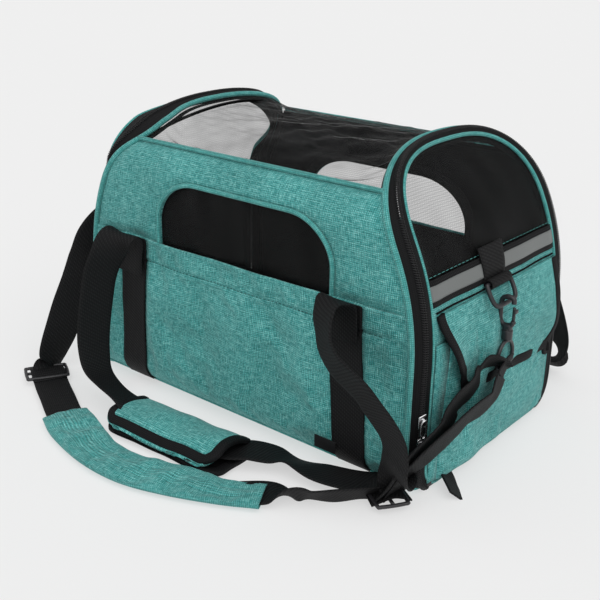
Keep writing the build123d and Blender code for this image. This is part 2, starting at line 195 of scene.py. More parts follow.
def apply(piece):
    """Turn the piece's modifiers into plain mesh."""
    bpy.context.view_layer.update()
    evaluated = piece.evaluated_get(bpy.context.evaluated_depsgraph_get())
    mesh = bpy.data.meshes.new_from_object(evaluated)
    piece.modifiers.clear()
    piece.data = mesh
    return piece


def join(name, pieces):
    """One object from several, keeping their materials."""
    for piece in bpy.context.selected_objects:
        piece.select_set(False)
    for piece in pieces:
        piece.select_set(True)
    bpy.context.view_layer.objects.active = pieces[0]
    bpy.ops.object.join()
    pieces[0].name = name
    pieces[0].data.name = name
    return pieces[0]


def tangents(path, closed=False):
    if closed:
        return unit(np.roll(path, -1, axis=0) - np.roll(path, 1, axis=0))
    return unit(np.gradient(path, axis=0))


def path_frames(path, across, closed=False):
    """Width direction and face normal along a path."""
    tangent = tangents(path, closed)
    across = unit(across - np.sum(across * tangent, axis=1, keepdims=True) * tangent)
    return across, np.cross(tangent, across)


def swept(name, path, across, section, material, closed=False):
    """Sweep a closed cross-section, given as (across, normal) offsets, along a path."""
    width_way, normal = path_frames(path, across, closed)
    section = np.asarray(section, float)
    if section.ndim == 2:
        section = np.repeat(section[None], len(path), axis=0)
    sideways = section[..., :1] * width_way[:, None]
    rings = path[:, None] + sideways + section[..., 1:] * normal[:, None]
    around = section.shape[1]
    steps = np.linalg.norm(np.diff(path, axis=0), axis=1)
    along = np.concatenate([[0], np.cumsum(steps)])
    edge = np.linalg.norm(section - np.roll(section, 1, axis=1), axis=2).mean(axis=0)
    girth = np.cumsum(edge) - edge[0]
    uvs = np.stack(np.broadcast_arrays(along[:, None], girth[None]), axis=-1)
    rows = len(path)
    faces = grid_faces(rows, around, wrap=True)
    if closed:
        last = (rows - 1) * around
        faces += [(last + j, last + (j + 1) % around, (j + 1) % around, j) for j in range(around)]
    else:
        faces.append(tuple(range(around))[::-1])
        faces.append(tuple((rows - 1) * around + j for j in range(around)))
    return add_mesh(name, rings.reshape(-1, 3), faces, uvs.reshape(-1, 2), material)


def circle(radius, sides=10):
    angle = np.linspace(0, 2 * math.pi, sides, endpoint=False)
    return np.stack([radius * np.cos(angle), radius * np.sin(angle)], axis=1)


def tube(name, path, radius, material, closed=False, sides=10):
    """Round bar or cord along a path."""
    path = np.asarray(path, float)
    return swept(name, path, frames_free(path, closed), circle(radius, sides), material, closed)


def frames_free(path, closed=False):
    """Width directions that twist as little as they can along a path."""
    tangent = tangents(path, closed)
    ways = [unit(np.cross(tangent[0], (0.31, 0.52, 0.79)))]
    for t in tangent[1:]:
        way = ways[-1] - np.dot(ways[-1], t) * t
        ways.append(unit(way))
    return np.array(ways)


def flat_section(width, thickness, sides=9):
    """Webbing cross-section: flat with rounded edges, finely divided across so that it can curve."""
    half = width / 2 - thickness / 2
    across = np.linspace(-half, half, sides)
    lower = [(x, -thickness / 2) for x in across]
    upper = [(x, thickness / 2) for x in across[::-1]]
    return np.array(lower + [(half + thickness / 2, 0)] + upper + [(-half - thickness / 2, 0)])


def full_section(width, thickness, sides=16):
    """Padded cross-section with a flat middle and well rounded edges."""
    turn = np.linspace(0, 2 * math.pi, sides, endpoint=False)
    across = np.sign(np.cos(turn)) * np.abs(np.cos(turn)) ** 0.5
    high = np.sign(np.sin(turn)) * np.abs(np.sin(turn)) ** 0.5
    return np.stack([across * width / 2, high * thickness / 2], axis=1)


def tapered(section, count, stops):
    """The cross-section narrowed or widened along a path: stops are (place 0..1, factor)."""
    factor = np.interp(np.linspace(0, 1, count), *zip(*stops))
    return section[None] * np.stack([factor, np.ones(count)], axis=1)[:, None]


CAMERA = np.array((0.6295, -0.8044, 0.5034))
STRAP_THICKNESS = 1.7 * MM
WHOLE_WIDTH = ((0, 1), (1, 1))


def strap_frames(controls):
    """Width direction at each control (x, y, z, ...), millimetres.

    What follows x, y, z is a direction, an angle off facing the camera, or None where the strap lies flat.
    """
    places = np.array([c[:3] for c in controls], float) * MM
    ways = []
    for control, place, tangent in zip(controls, places, tangents(places)):
        if len(control) == 6:
            way = np.array(control[3:], float)
        elif control[3] is None:
            way = np.cross(tangent, (0, 0, 1))
        else:
            side = unit(np.cross(tangent, unit(CAMERA - place)))
            depth = np.cross(side, tangent)
            angle = math.radians(control[3])
            way = side * math.cos(angle) + depth * math.sin(angle)
        way = unit(way)
        if ways and np.dot(way, ways[-1]) < 0:
            way = -way
        ways.append(way)
    return np.hstack([places, np.array(ways)])


def ribbon(name, controls, material, width=WEBBING, step=2.5 * MM, stops=WHOLE_WIDTH):
    """Webbing through control points given in millimetres."""
    rough = spline(strap_frames(controls), 500)
    length = np.linalg.norm(np.diff(rough[:, :3], axis=0), axis=1).sum()
    fine = resample(rough, max(8, int(length / step)))
    section = tapered(flat_section(width, STRAP_THICKNESS), len(fine), stops)
    return swept(name, fine[:, :3], fine[:, 3:], section, material)


def rounded_box(name, size, place, material, bevel, segments=3, turn=None):
    mesh = bpy.data.meshes.new(name)
    builder = bmesh.new()
    bmesh.ops.create_cube(builder, size=1)
    bmesh.ops.scale(builder, vec=size, verts=builder.verts)
    edges = {"geom": builder.edges, "affect": "EDGES"}
    bmesh.ops.bevel(builder, offset=bevel, segments=segments, profile=0.5, **edges)
    if turn is not None:
        bmesh.ops.transform(builder, matrix=turn.to_4x4(), verts=builder.verts)
    bmesh.ops.translate(builder, vec=place, verts=builder.verts)
    builder.to_mesh(mesh)
    builder.free()
    mesh.polygons.foreach_set("use_smooth", [True] * len(mesh.polygons))
    mesh.materials.append(material)
    piece = bpy.data.objects.new(name, mesh)
    bpy.context.scene.collection.objects.link(piece)
    return piece


def settle(piece, pins, limit, frames=14, gravity=0.0, pressure=0.0, shrink=0.0, stiffness=12.0):
    """Let cloth find its own folds: pins holds points that stay, limit is the furthest a point may move."""
    scene = bpy.context.scene
    rest = np.array([v.co for v in piece.data.vertices])
    group = piece.vertex_groups.new(name="pin")
    for index, weight in enumerate(pins):
        group.add([index], float(weight), "REPLACE")
    cloth = piece.modifiers.new("cloth", "CLOTH")
    settings = cloth.settings
    settings.quality = 6
    settings.mass = 0.25
    settings.tension_stiffness = stiffness
    settings.compression_stiffness = stiffness
    settings.shear_stiffness = stiffness / 2
    settings.bending_stiffness = 1.2
    settings.vertex_group_mass = "pin"
    settings.shrink_min = shrink
    settings.shrink_max = shrink
    settings.effector_weights.gravity = gravity
    if pressure:
        settings.use_pressure = True
        settings.uniform_pressure_force = pressure
    cloth.collision_settings.use_collision = False
    cloth.collision_settings.use_self_collision = False
    cloth.point_cache.frame_start = 1
    cloth.point_cache.frame_end = frames
    for number in range(1, frames + 1):
        scene.frame_set(number)
    depsgraph = bpy.context.evaluated_depsgraph_get()
    moved = np.array([v.co for v in piece.evaluated_get(depsgraph).data.vertices])
    piece.modifiers.clear()
    scene.frame_set(1)
    shift = moved - rest
    size = np.linalg.norm(shift, axis=1, keepdims=True)
    shift *= np.minimum(1, limit / np.maximum(size, 1e-9))
    piece.data.vertices.foreach_set("co", (rest + shift).ravel())
    piece.data.update()
    return piece


# ---------------------------------------------------------------- materials
class Shader:
    """Small helper for building one node material."""

    def __init__(self, name, roughness=0.8, sheen=0.0, specular=0.3, metallic=0.0):
        self.material = bpy.data.materials.new(name)
        self.material.use_nodes = True
        self.tree = self.material.node_tree
        self.bsdf = self.tree.nodes["Principled BSDF"]
        self.bsdf.inputs["Roughness"].default_value = roughness
        self.bsdf.inputs["Metallic"].default_value = metallic
        self.bsdf.inputs["Specular IOR Level"].default_value = specular
        self.bsdf.inputs["Sheen Weight"].default_value = sheen
        self.bsdf.inputs["Sheen Roughness"].default_value = 0.5

    def add(self, kind, inputs=(), **settings):
        made = self.tree.nodes.new("ShaderNode" + kind)
        for key, value in settings.items():
            setattr(made, key, value)
        for slot, value in dict(inputs).items():
            if hasattr(value, "links"):
                self.tree.links.new(value, made.inputs[slot])
            else:
                made.inputs[slot].default_value = value
        return made

    def math(self, operation, a, b=0.0, c=0.0):
        return self.add("Math", {0: a, 1: b, 2: c}, operation=operation).outputs[0]

    def uv(self, scale=(1, 1, 1)):
        place = self.add("UVMap", uv_map="UVMap").outputs[0]
        return self.add("Mapping", {"Vector": place, "Scale": scale}).outputs[0]

    def noise(self, vector, scale, detail=2.0, rough=0.5):
        inputs = {"Vector": vector, "Scale": scale, "Detail": detail, "Roughness": rough}
        return self.add("TexNoise", inputs).outputs["Fac"]

    def wave(self, vector, scale, direction="X", distortion=0.0):
        inputs = {"Vector": vector, "Scale": scale, "Distortion": distortion}
        made = self.add("TexWave", inputs, bands_direction=direction, wave_profile="SIN")
        return made.outputs["Fac"]

    def cells(self, scale, distortion=0.0):
        """Crossed waves, bright where two threads cross."""
        ways = [self.wave(self.uv(), scale, way, distortion) for way in "XY"]
        return self.math("MULTIPLY", *ways)

    def ramp(self, value, stops):
        made = self.add("ValToRGB", {0: value})
        ramp = made.color_ramp
        while len(ramp.elements) < len(stops):
            ramp.elements.new(0.5)
        for element, (place, colour) in zip(ramp.elements, stops):
            element.position = place
            element.color = (*colour, 1)
        return made.outputs[0]

    def mix(self, factor, a, b, blend_type="MIX"):
        made = self.add("Mix", {}, data_type="RGBA", blend_type=blend_type)
        for slot, value in ((0, factor), (6, a), (7, b)):
            if hasattr(value, "links"):
                self.tree.links.new(value, made.inputs[slot])
            else:
                made.inputs[slot].default_value = value if slot == 0 else (*value, 1)
        return made.outputs[2]

    def set(self, slot, value):
        if hasattr(value, "links"):
            self.tree.links.new(value, self.bsdf.inputs[slot])
        else:
            self.bsdf.inputs[slot].default_value = value

    def bump(self, height, strength, distance=0.3 * MM):
        made = self.add("Bump", {"Height": height, "Strength": strength, "Distance": distance})
        self.set("Normal", made.outputs[0])


def heather(name, dark, middle, light):
    """Plain-woven two-tone yarn with slubs both ways and a visible weave."""
    shader = Shader(name, roughness=0.92, sheen=0.15, specular=0.1)
    along = shader.noise(shader.uv((90, 760, 1)), 1, detail=4, rough=0.75)
    upright = shader.noise(shader.uv((820, 120, 1)), 1, detail=4, rough=0.75)
    weave = shader.cells(170, 1.0)
    streak = shader.math("MAXIMUM", along, upright)
    gap = shader.math("MINIMUM", along, upright)
    yarn = shader.ramp(gap, ((0.30, dark), (0.50, middle)))
    fleck = shader.ramp(streak, ((0.50, (0, 0, 0)), (0.74, (1, 1, 1))))
    colour = shader.mix(fleck, yarn, light)
    shade = shader.noise(shader.uv((14, 14, 1)), 1, detail=5)
    tone = shader.ramp(shade, ((0.3, (0.86, 0.87, 0.87)), (0.7, (1.12, 1.11, 1.11))))
    toned = shader.mix(1.0, colour, tone, "MULTIPLY")
    threads = shader.ramp(weave, ((0.0, (0.66, 0.68, 0.68)), (0.6, (1.30, 1.30, 1.30))))
    shader.set("Base Color", shader.mix(1.0, toned, threads, "MULTIPLY"))
    height = shader.math("MULTIPLY_ADD", streak, 1.2, weave)
    shader.bump(height, 0.75, 0.45 * MM)
    return shader.material


def webbing_material(name, dark, light, ribs=330):
    """Nylon webbing: fine cross ribs with a chevron shift from row to row."""
    shader = Shader(name, roughness=0.7, sheen=0.0, specular=0.22)
    cross = shader.wave(shader.uv((1, 0.55, 1)), ribs / 2, "DIAGONAL")
    rows = shader.wave(shader.uv(), 150, "Y")
    height = shader.math("MULTIPLY", cross, rows)
    fuzz = shader.noise(shader.uv((700, 700, 1)), 1, detail=2)
    shader.set("Base Color", shader.mix(shader.math("MULTIPLY", height, fuzz), dark, light))
    shader.bump(height, 0.7, 0.5 * MM)
    return shader.material


def net_material(name, opening, colour):
    """Fine net: holes let the view through, less so at a slant."""
    shader = Shader(name, roughness=0.45, sheen=0.0, specular=0.35)
    shader.set("Base Color", (*colour, 1))
    facing = shader.add("LayerWeight", {"Blend": 0.5}).outputs["Facing"]
    square_on = shader.math("POWER", shader.math("SUBTRACT", 1.0, facing), 0.3)
    cells = shader.cells(130)
    hole = shader.math("MULTIPLY_ADD", cells, 0.22, opening)
    cover = shader.math("SUBTRACT", 1.0, shader.math("MULTIPLY", square_on, hole))
    shader.set("Alpha", shader.add("Clamp", {"Value": cover}).outputs[0])
    shader.bump(cells, 0.4, 0.2 * MM)
    return shader.material


def plain(name, colour, roughness, specular=0.4, metallic=0.0, grain=0.0, scale=900):
    """Single colour, with a fine grain where grain is given."""
    shader = Shader(name, roughness=roughness, specular=specular, metallic=metallic)
    shader.set("Base Color", (*colour, 1))
    if grain:
        place = shader.add("TexCoord").outputs["Object"]
        texture = shader.noise(place, scale, detail=3)
        shader.bump(texture, grain, 0.15 * MM)
        rough = shader.math("MULTIPLY_ADD", texture, 0.25, roughness - 0.12)
        shader.set("Roughness", rough)
    return shader.material


TEAL = heather("teal_heather", (0.020, 0.155, 0.150), (0.060, 0.350, 0.335), (0.340, 0.740, 0.710))
PIPING = heather("teal_piping", (0.030, 0.200, 0.192), (0.072, 0.370, 0.350), (0.24, 0.58, 0.55))
WEB = webbing_material("black_webbing", (0.0025, 0.0025, 0.003), (0.028, 0.028, 0.029))
TAPE = webbing_material("zip_tape", (0.002, 0.002, 0.0025), (0.008, 0.008, 0.009), ribs=600)
BINDING = webbing_material("binding_tape", (0.0025, 0.0025, 0.003), (0.011, 0.011, 0.013), ribs=500)
NET = net_material("black_net", 0.78, (0.014, 0.015, 0.015))
LINING = plain("black_lining", (0.0035, 0.0035, 0.004), 0.9, 0.12, grain=0.3, scale=700)
MAT_CLOTH = plain("mat_cloth", (0.006, 0.006, 0.007), 0.95, 0.1, grain=0.6, scale=500)
COIL = plain("coil_nylon", (0.012, 0.012, 0.013), 0.42, 0.35)
PLASTIC = plain("dark_plastic", (0.022, 0.021, 0.024), 0.38, 0.5, grain=0.25, scale=1400)
STEEL = plain("zip_metal", (0.62, 0.62, 0.63), 0.22, 0.5, metallic=1.0, grain=0.1, scale=2200)
REFLECT = plain("reflective_tape", (0.155, 0.165, 0.162), 0.42, 0.5, grain=0.5, scale=1600)
LABEL = plain("woven_label", (0.006, 0.006, 0.007), 0.6, 0.3, grain=0.6, scale=2000)
THREAD = plain("teal_thread", (0.09, 0.34, 0.32), 0.7, 0.3)
DARK_THREAD = plain("dark_thread", (0.012, 0.07, 0.068), 0.7, 0.3)


# ---------------------------------------------------------------- shell outline
class Arch:
    """D-shaped outline in the Y-Z plane: from the middle of the bottom up the front and down the back."""

    def __init__(self, half, height, power, shoulder=0.234, corner=0.030, low=0.0015):
        turn = np.linspace(0, math.pi / 2, 40)
        points = [(0.0, low)]
        points += [(-half + corner - corner * math.sin(t), low + corner * (1 - math.cos(t))) for t in turn]
        bow = 2 / power
        rise = height - shoulder
        points += [(-half * math.cos(t) ** bow, shoulder + rise * math.sin(t) ** bow) for t in turn]
        points += [(-y, z) for y, z in points[-2::-1]]
        self.line = resample(np.array(points), 1601)
        self.at = np.linspace(0, 1, len(self.line))
        self.length = np.linalg.norm(np.diff(self.line, axis=0), axis=1).sum()
        slope = unit(np.gradient(self.line, axis=0))
        self.out = np.stack([-slope[:, 1], slope[:, 0]], axis=1)

    def point(self, s):
        return np.stack([np.interp(s, self.at, self.line[:, k]) for k in (0, 1)], axis=-1)

    def outward(self, s):
        return np.stack([np.interp(s, self.at, self.out[:, k]) for k in (0, 1)], axis=-1)

    def find(self, z, side=FRONT):
        """Place along the outline where the front or back reaches height z."""
        half = len(self.line) // 2
        if side == FRONT:
            return np.interp(z, self.line[:half, 1], self.at[:half])
        return np.interp(z, self.line[half:, 1][::-1], self.at[half:][::-1])


SHELL = Arch(0.140, 0.312, 2.36)
DOOR = Arch(0.119, 0.3085, 2.74, corner=0.024, low=0.003)


def lean(z):
    """How far both ends lean in towards the middle at height z."""
    return 0.0296 * (np.maximum(0, np.asarray(z) - LEAN_START) / 0.12) ** 2.21


def left_skew(y, z):
    """How far the left arch is pushed in at its front shoulder and out at its crest."""
    shoulder = 12.0 * MM * bell(z - 0.288, 0.015) * smoothstep(-0.02, -0.08, y)
    return shoulder - 9.0 * MM * smoothstep(0.300, 0.312, z) * smoothstep(0.09, 0.0, y)


def left_flare(z):
    """0 low on the left end, 1 where its zip strip faces outwards instead of sideways."""
    return smoothstep(0.225, 0.262, z)


def door_reach(side, z):
    """Distance of a door face from the middle of the carrier."""
    upright = DOOR_X - lean(z)
    if side == 1:
        return upright
    pushed_in = 0.188 - 0.016 * smoothstep(0.295, 0.311, z)
    return upright + (pushed_in - upright) * left_flare(z)


def shell_surface(u, s, offset=0.0):
    """Point on the shell: u runs -1..1 along the carrier, s round the outline, offset outwards."""
    yz = SHELL.point(s)
    out = SHELL.outward(s)
    skew = left_skew(yz[..., 0], yz[..., 1]) * smoothstep(-0.5, -1, u)
    x = u * (END_X - lean(yz[..., 1])) + skew
    y = yz[..., 0] + out[..., 0] * offset
    return np.stack([x, y, yz[..., 1] + out[..., 1] * offset], axis=-1)


def shell_offset_at(x, s, offset):
    """Point on the shell at x in metres and outline place s, offset outwards."""
    z = SHELL.point(s)[..., 1]
    return shell_surface(x / (END_X - lean(z)), s, offset)


def puff(u, s, low, high, height):
    """Soft bulge that fades to nothing at the edges of a panel."""
    across = (1 - np.clip(np.abs(u), 0, 1) ** 4) ** 0.8
    rise = np.clip((s - low) / (high - low), 0, 1)
    return height * across * np.sin(math.pi * rise) ** 0.7


S_SEAM = SHELL.find(ROOF_SEAM)
S_POCKET = SHELL.find(POCKET_TOP)
S_BASE = SHELL.find(0.010)


def flipped(points, side):
    """Front points as they are, or mirrored to the back."""
    points = np.array(points, float)
    if side == BACK:
        points[..., 1] *= -1
    return points


# Openings in the panels: upright sides, elliptical top corners, bottom behind the pocket hem
Window = namedtuple("Window", "left right top corner hem")
WINDOWS = {
    FRONT: Window(-0.106, 0.124, 0.249, (0.054, 0.046), POCKET_TOP),
    BACK: Window(-0.128, 0.104, 0.228, (0.066, 0.052), 0.168),
}


def window_outline(window, low, grow=0.0, count=150):
    """Outline of a window as (x, z), from the lower left over the top to the lower right."""
    left = window.left - grow
    right = window.right + grow
    top = window.top + grow
    wide, tall = window.corner
    turn = np.linspace(0, math.pi / 2, 30)
    line = [(left, low)]
    curve = [(wide * (1 - math.cos(t)), top - tall * (1 - math.sin(t))) for t in turn]
    line += [(left + x, z) for x, z in curve]
    line += [(right - x, z) for x, z in curve[::-1]]
    line += [(right, low)]
    return resample(np.array(line), count)


def panel_relief(x, s):
    """Padding and soft wrinkles of the upper panels, with one slanting crease beside the window."""
    points = np.stack([x, s * SHELL.length], axis=-1)
    edge = smoothstep(0, 0.022, half_long(s) - np.abs(x))
    edge = edge * smoothstep(0, 0.012, (S_SEAM - s) * SHELL.length)
    z = SHELL.point(s)[..., 1]
    crease = np.abs((z - 0.186) - 0.62 * (x - 0.131)) / 1.18
    crease = bell(crease, 2.6 * MM) * smoothstep(0.118, 0.135, x)
    crease = crease * smoothstep(0.190, 0.165, x)
    waves = 0.9 * MM * ripples(points, 0.085, 3) + 0.4 * MM * ripples(points, 0.032, 5)
    tuck = 3.2 * MM * smoothstep(POCKET_TOP + 0.010, POCKET_TOP, z)
    return edge * (2.6 * MM + waves - 1.6 * MM * crease - tuck)


def half_long(s):
    """Half the carrier's length at a place round the outline."""
    return END_X - lean(SHELL.point(s)[..., 1])


def upper_panel(side):
    """Outer cloth and lining of a side above the pocket, with the window left open."""
    name = "front" if side == FRONT else "back"
    window = WINDOWS[side]
    count = 190
    low = window.hem - 0.012
    line = window_outline(window, low, count=count)
    inner_x = line[:, 0]
    inner_s = SHELL.find(line[:, 1])
    s_low = SHELL.find(low)
    left = np.stack([np.full(60, -1.0), np.linspace(s_low, S_SEAM, 60)], axis=1)
    top = np.stack([np.linspace(-1, 1, 120), np.full(120, S_SEAM)], axis=1)
    outer = np.vstack([left, top[1:-1], left[::-1] * (-1, 1)])
    metres = np.stack([outer[:, 0] * half_long(outer[:, 1]), outer[:, 1] * SHELL.length], 1)
    outer = resample(np.hstack([metres, np.zeros((len(metres), 1)), outer]), count)[:, 3:]
    outer_x = outer[:, 0] * half_long(outer[:, 1])
    steps = np.linspace(0, 1, 30)[:, None]
    x = inner_x[None] * (1 - steps) + outer_x[None] * steps
    s = inner_s[None] * (1 - steps) + outer[None, :, 1] * steps
    uvs = np.stack([x, s * SHELL.length], axis=-1)
    raised = panel_relief(x, s) * smoothstep(0, 0.2, steps) - 0.6 * MM
    outside = flipped(shell_offset_at(x, s, raised), side)
    inside = flipped(shell_offset_at(x, s, LINING_DEPTH), side)
    skin = sheet(f"{name}_panel_skin", outside, uvs, TEAL)
    lining = sheet(f"{name}_panel_lining", inside, uvs, LINING, inward=True)
    return skin, lining


def stitch_row(name, points, normals, material, length=3.2 * MM, gap=1.6 * MM):
    """Row of thread stitches lying along a path on a surface."""
    radius = 0.32 * MM
    points = np.asarray(points, float)
    total = np.linalg.norm(np.diff(points, axis=0), axis=1).sum()
    count = max(2, int(total / (length + gap)))
    fine = resample(np.hstack([points, normals]), count * 6 + 1)
    vertices, faces, uvs = [], [], []
    for k in range(count):
        run = fine[k * 6 : k * 6 + 5]
        tangent = unit(run[-1, :3] - run[0, :3])
        normal = unit(run[2, 3:])
        across = np.cross(tangent, normal)
        start = len(vertices)
        for i, place in enumerate(run[:, :3]):
            swell = radius * (0.35 + 0.65 * math.sin(math.pi * (i + 0.3) / 4.6))
            for a in range(5):
                angle = 2 * math.pi * a / 5
                ring = across * math.cos(angle) + normal * math.sin(angle)
                vertices.append(place + ring * swell + normal * 0.25 * radius)
                uvs.append((k * 0.005, a * 0.001))
        for i in range(4):
            for a in range(5):
                b = (a + 1) % 5
                ring = start + i * 5
                faces.append((ring + a, ring + b, ring + 5 + b, ring + 5 + a))
    return add_mesh(name, vertices, faces, uvs, material)


def mark(piece, body, slot, *nodes):
    """Ride the piece on a body and stand it in for CAD nodes; the slot argument is not used."""
    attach(piece, body)
    if nodes:
        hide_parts(*nodes)
    return piece


# ---------------------------------------------------------------- shell walls
def pocket_relief(x, s):
    """Height of the slip pocket skin over the shell outline."""
    z = SHELL.point(s)[..., 1]
    flat = np.stack([x, s * SHELL.length], axis=-1)
    ends = END_X - lean(z) - np.abs(x)
    free = smoothstep(0, 0.024, ends)
    rise = puff(x / END_X, s, S_BASE - 0.012, S_POCKET + 0.09, 4.2 * MM)
    waves = 1.0 * MM * ripples(flat, 0.085, 11) + 0.35 * MM * ripples(flat, 0.034, 14)
    hem = 1.1 * MM * bell((s - S_POCKET) * SHELL.length, 3.5 * MM)
    return (rise + waves + hem) * free * smoothstep(0.004, 0.030, z) + 0.9 * MM


def girth_x(way, z):
    """Middle of a girth strap at height z."""
    return way * (GIRTH_X + 4.5 * MM - 8.5 * MM * smoothstep(0.01, 0.18, z))


def wall_skins(side, name):
    """Cloth and lining of a side above the pocket."""
    skin, lining = upper_panel(side)
    mark(thicken(skin, 2.4 * MM), "shell", "shell_fabric", f"{name}_panel")
    mark(lining, "shell", "lining")


def slip_pocket(side, name):
    """Soft outer skin held by its hem and the two straps. Gives back a function that finds points on it."""
    s_top = SHELL.find(WINDOWS[side].hem)
    s_stitch = SHELL.find(WINDOWS[side].hem - HEM_DEPTH)
    rows, columns = 76, 150
    u, s = spread((-1, 1, columns), (S_BASE, s_top, rows))
    z = SHELL.point(s)[..., 1]
    x = u * (END_X - lean(z))
    flat = np.stack([x, s * SHELL.length], axis=-1)
    groove = bell((s - s_stitch) * SHELL.length, 1.7 * MM) * (np.abs(x) < 0.192)
    strapped = np.maximum(*[bell(x - girth_x(way, z), 20 * MM, 6) for way in (-1, 1)])
    raised = pocket_relief(x, s) * (1 - 0.5 * strapped) - 2.0 * MM * groove
    pocket = sheet(f"{name}_pocket_skin", flipped(shell_surface(u, s, raised), side), flat, TEAL)
    held = np.maximum((np.abs(u) > 0.985) | (s < S_BASE + 0.003), 0)
    held = np.maximum(held, strapped * 0.95)
    held = np.maximum(held, 0.9 * groove)
    held = np.maximum(held, 0.85 * (s > s_top - 0.003))
    settle(pocket, held.ravel(), 3.5 * MM, pressure=0.35, shrink=-0.018)
    grid = mesh_points(pocket).reshape(rows, columns, 3)
    mark(thicken(pocket, 2.6 * MM), "shell", "shell_fabric", f"{name}_slip_pocket")
    lower = flipped(shell_surface(u[::3, ::3], s[::3, ::3], LINING_DEPTH), side)
    mark(sheet(f"{name}_lower_lining", lower, flat[::3, ::3], LINING, inward=True), "shell", "lining")

    def on_pocket(place_x, place_s, lift):
        """Point lifted off the settled pocket skin at x and outline place s."""
        row = (place_s - S_BASE) / (s_top - S_BASE) * (rows - 1)
        column = (place_x / half_long(place_s) + 1) / 2 * (columns - 1)
        normals = grid_normals(grid)
        normals *= np.sign(np.mean(normals[..., 1])) * side
        return grid_sample(grid, row, column) + unit(grid_sample(normals, row, column)) * lift

    return on_pocket


def hem_stitching(side, name, on_pocket):
    """Three rows of stitches that hold the pocket's hem, left open where the straps pass."""
    s_stitch = SHELL.find(WINDOWS[side].hem - HEM_DEPTH)
    for start, finish in ((-0.186, -0.166), (-0.122, 0.120), (0.164, 0.186)):
        run = np.linspace(start, finish, 240)
        line = on_pocket(run, np.full(240, s_stitch), 0.3 * MM)
        out = np.tile((0.0, side, 0.0), (240, 1))
        stitches = stitch_row(f"{name}_hem_stitch_{int(start * 1000 + 500)}", line, out, DARK_THREAD)
        mark(stitches, "shell", "shell_fabric")


def strap_legs(side, on_pocket):
    """Webbing legs sewn over the pocket."""
    s_top = SHELL.find(WINDOWS[side].hem)
    found = []
    for way in (-1, 1):
        width = np.linspace(-0.5, 0.5, 12) * WEBBING
        across, down = np.meshgrid(width, np.linspace(s_top + 0.002, S_BASE, 70))
        middle = girth_x(way, SHELL.point(down)[..., 1])
        crown = 0.35 * MM * np.cos(across / WEBBING * math.pi)
        strip = on_pocket(middle + across, np.clip(down, S_BASE, s_top), 1.1 * MM)
        strip[..., 1] += side * crown
        leg_uv = np.stack([down * SHELL.length, across], -1)
        leg = sheet("leg", strip, leg_uv, WEB)
        found.append(thicken(leg, 1.5 * MM, 1.0))
    return found


def window_piping(side, name):
    """Cord round the window's edge."""
    window = WINDOWS[side]
    line = window_outline(window, window.hem - 0.003, grow=1.2 * MM, count=190)
    cord = shell_offset_at(line[:, 0], SHELL.find(line[:, 1]), 1.5 * MM)
    cord = tube(f"{name}_window_cord", flipped(cord, side), 2.4 * MM, PIPING)
    mark(cord, "shell", "piping", f"{name}_window_piping")


def window_net(side, name):
    """Slack net behind the window, cut to its rounded top."""
    window = WINDOWS[side]
    half = (window.right - window.left) / 2 + 3 * MM
    wide, tall = window.corner
    net_u, net_z = spread((-1, 1, 90), (window.hem - 0.010, window.top + 2 * MM, 34))
    bend = np.clip((net_z - (window.top - tall)) / (tall + 2 * MM), 0, 1)
    reach = half - wide * (1 - np.sqrt(1 - bend**2))
    net_x = (window.left + window.right) / 2 + net_u * reach
    net_uv = np.stack([net_x, net_z], -1)
    wavy = 1.3 * MM * ripples(np.stack([net_x, net_z * 0.35], -1), 0.03, 21) - 2.4 * MM
    hung = flipped(shell_offset_at(net_x, SHELL.find(net_z), wavy), side)
    net = sheet(f"{name}_window_net", hung, net_uv, NET)
    mark(net, "shell", "mesh", f"{name}_window_mesh")


def straps_under(way):
    """Webbing run under the base that joins a front leg to a back one."""
    s = np.concatenate([np.linspace(S_BASE, 0, 24), np.linspace(0, S_BASE, 24)[1:]])
    side = np.concatenate([np.full(24, -1.0), np.full(23, 1.0)])
    yz = SHELL.point(s)
    level = np.maximum(yz[:, 1] - 1.0 * MM, 0.6 * MM)
    centre = np.stack([girth_x(way, yz[:, 1]), -side * yz[:, 0], level], -1)
    width_way = np.tile((1.0, 0, 0), (len(s), 1))
    return swept("leg", centre, width_way, flat_section(WEBBING, 1.5 * MM), WEB)


def long_cord(s, lift, radius, reach=1.0):
    """Pair of piping cords along the carrier, at place s of the outline, front and back."""
    pair = []
    for side in (FRONT, BACK):
        run = np.linspace(-reach, reach, 120)
        seam = shell_surface(run, np.full(120, s), lift)
        pair.append(tube("cord", flipped(seam, side), radius, PIPING))
    return pair


legs = []
for side, name in ((FRONT, "front"), (BACK, "back")):
    wall_skins(side, name)
    on_pocket = slip_pocket(side, name)
    hem_stitching(side, name, on_pocket)
    legs += strap_legs(side, on_pocket)
    window_piping(side, name)
    window_net(side, name)
legs += [straps_under(way) for way in (-1, 1)]
mark(join("girth_straps", legs), "shell", "webbing", "girth_webbing")
base_seam = long_cord(SHELL.find(0.0075), 1.0 * MM, 1.6 * MM, reach=0.985)
mark(join("base_cords", base_seam), "shell", "piping")


MAT_SIZE = (0.396, 0.220, 0.014)


def base():
    """Outer cloth under the floor, the loose mat, and dark looks for the board and the hoops."""
    u, s = spread((-1, 1, 60), (-S_BASE - 0.002, S_BASE + 0.002, 40))
    points = shell_surface(u, np.abs(s), 0.3 * MM)
    points[..., 1] *= np.where(s < 0, -1, 1)
    base_skin = sheet("base_skin", points, np.stack([points[..., 0], s * SHELL.length], -1), TEAL)
    mark(thicken(base_skin, 2.0 * MM), "shell", "shell_fabric", "base_panel")
    mat = rounded_box("mat_cushion", MAT_SIZE, (0, 0, 0.0165), MAT_CLOTH, 5 * MM, segments=4)
    mark(mat, "mat", "lining", "floor_mat")
    for node in ("base_board", "wire_hoops"):
        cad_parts[node].data.materials.clear()
        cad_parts[node].data.materials.append(LINING)


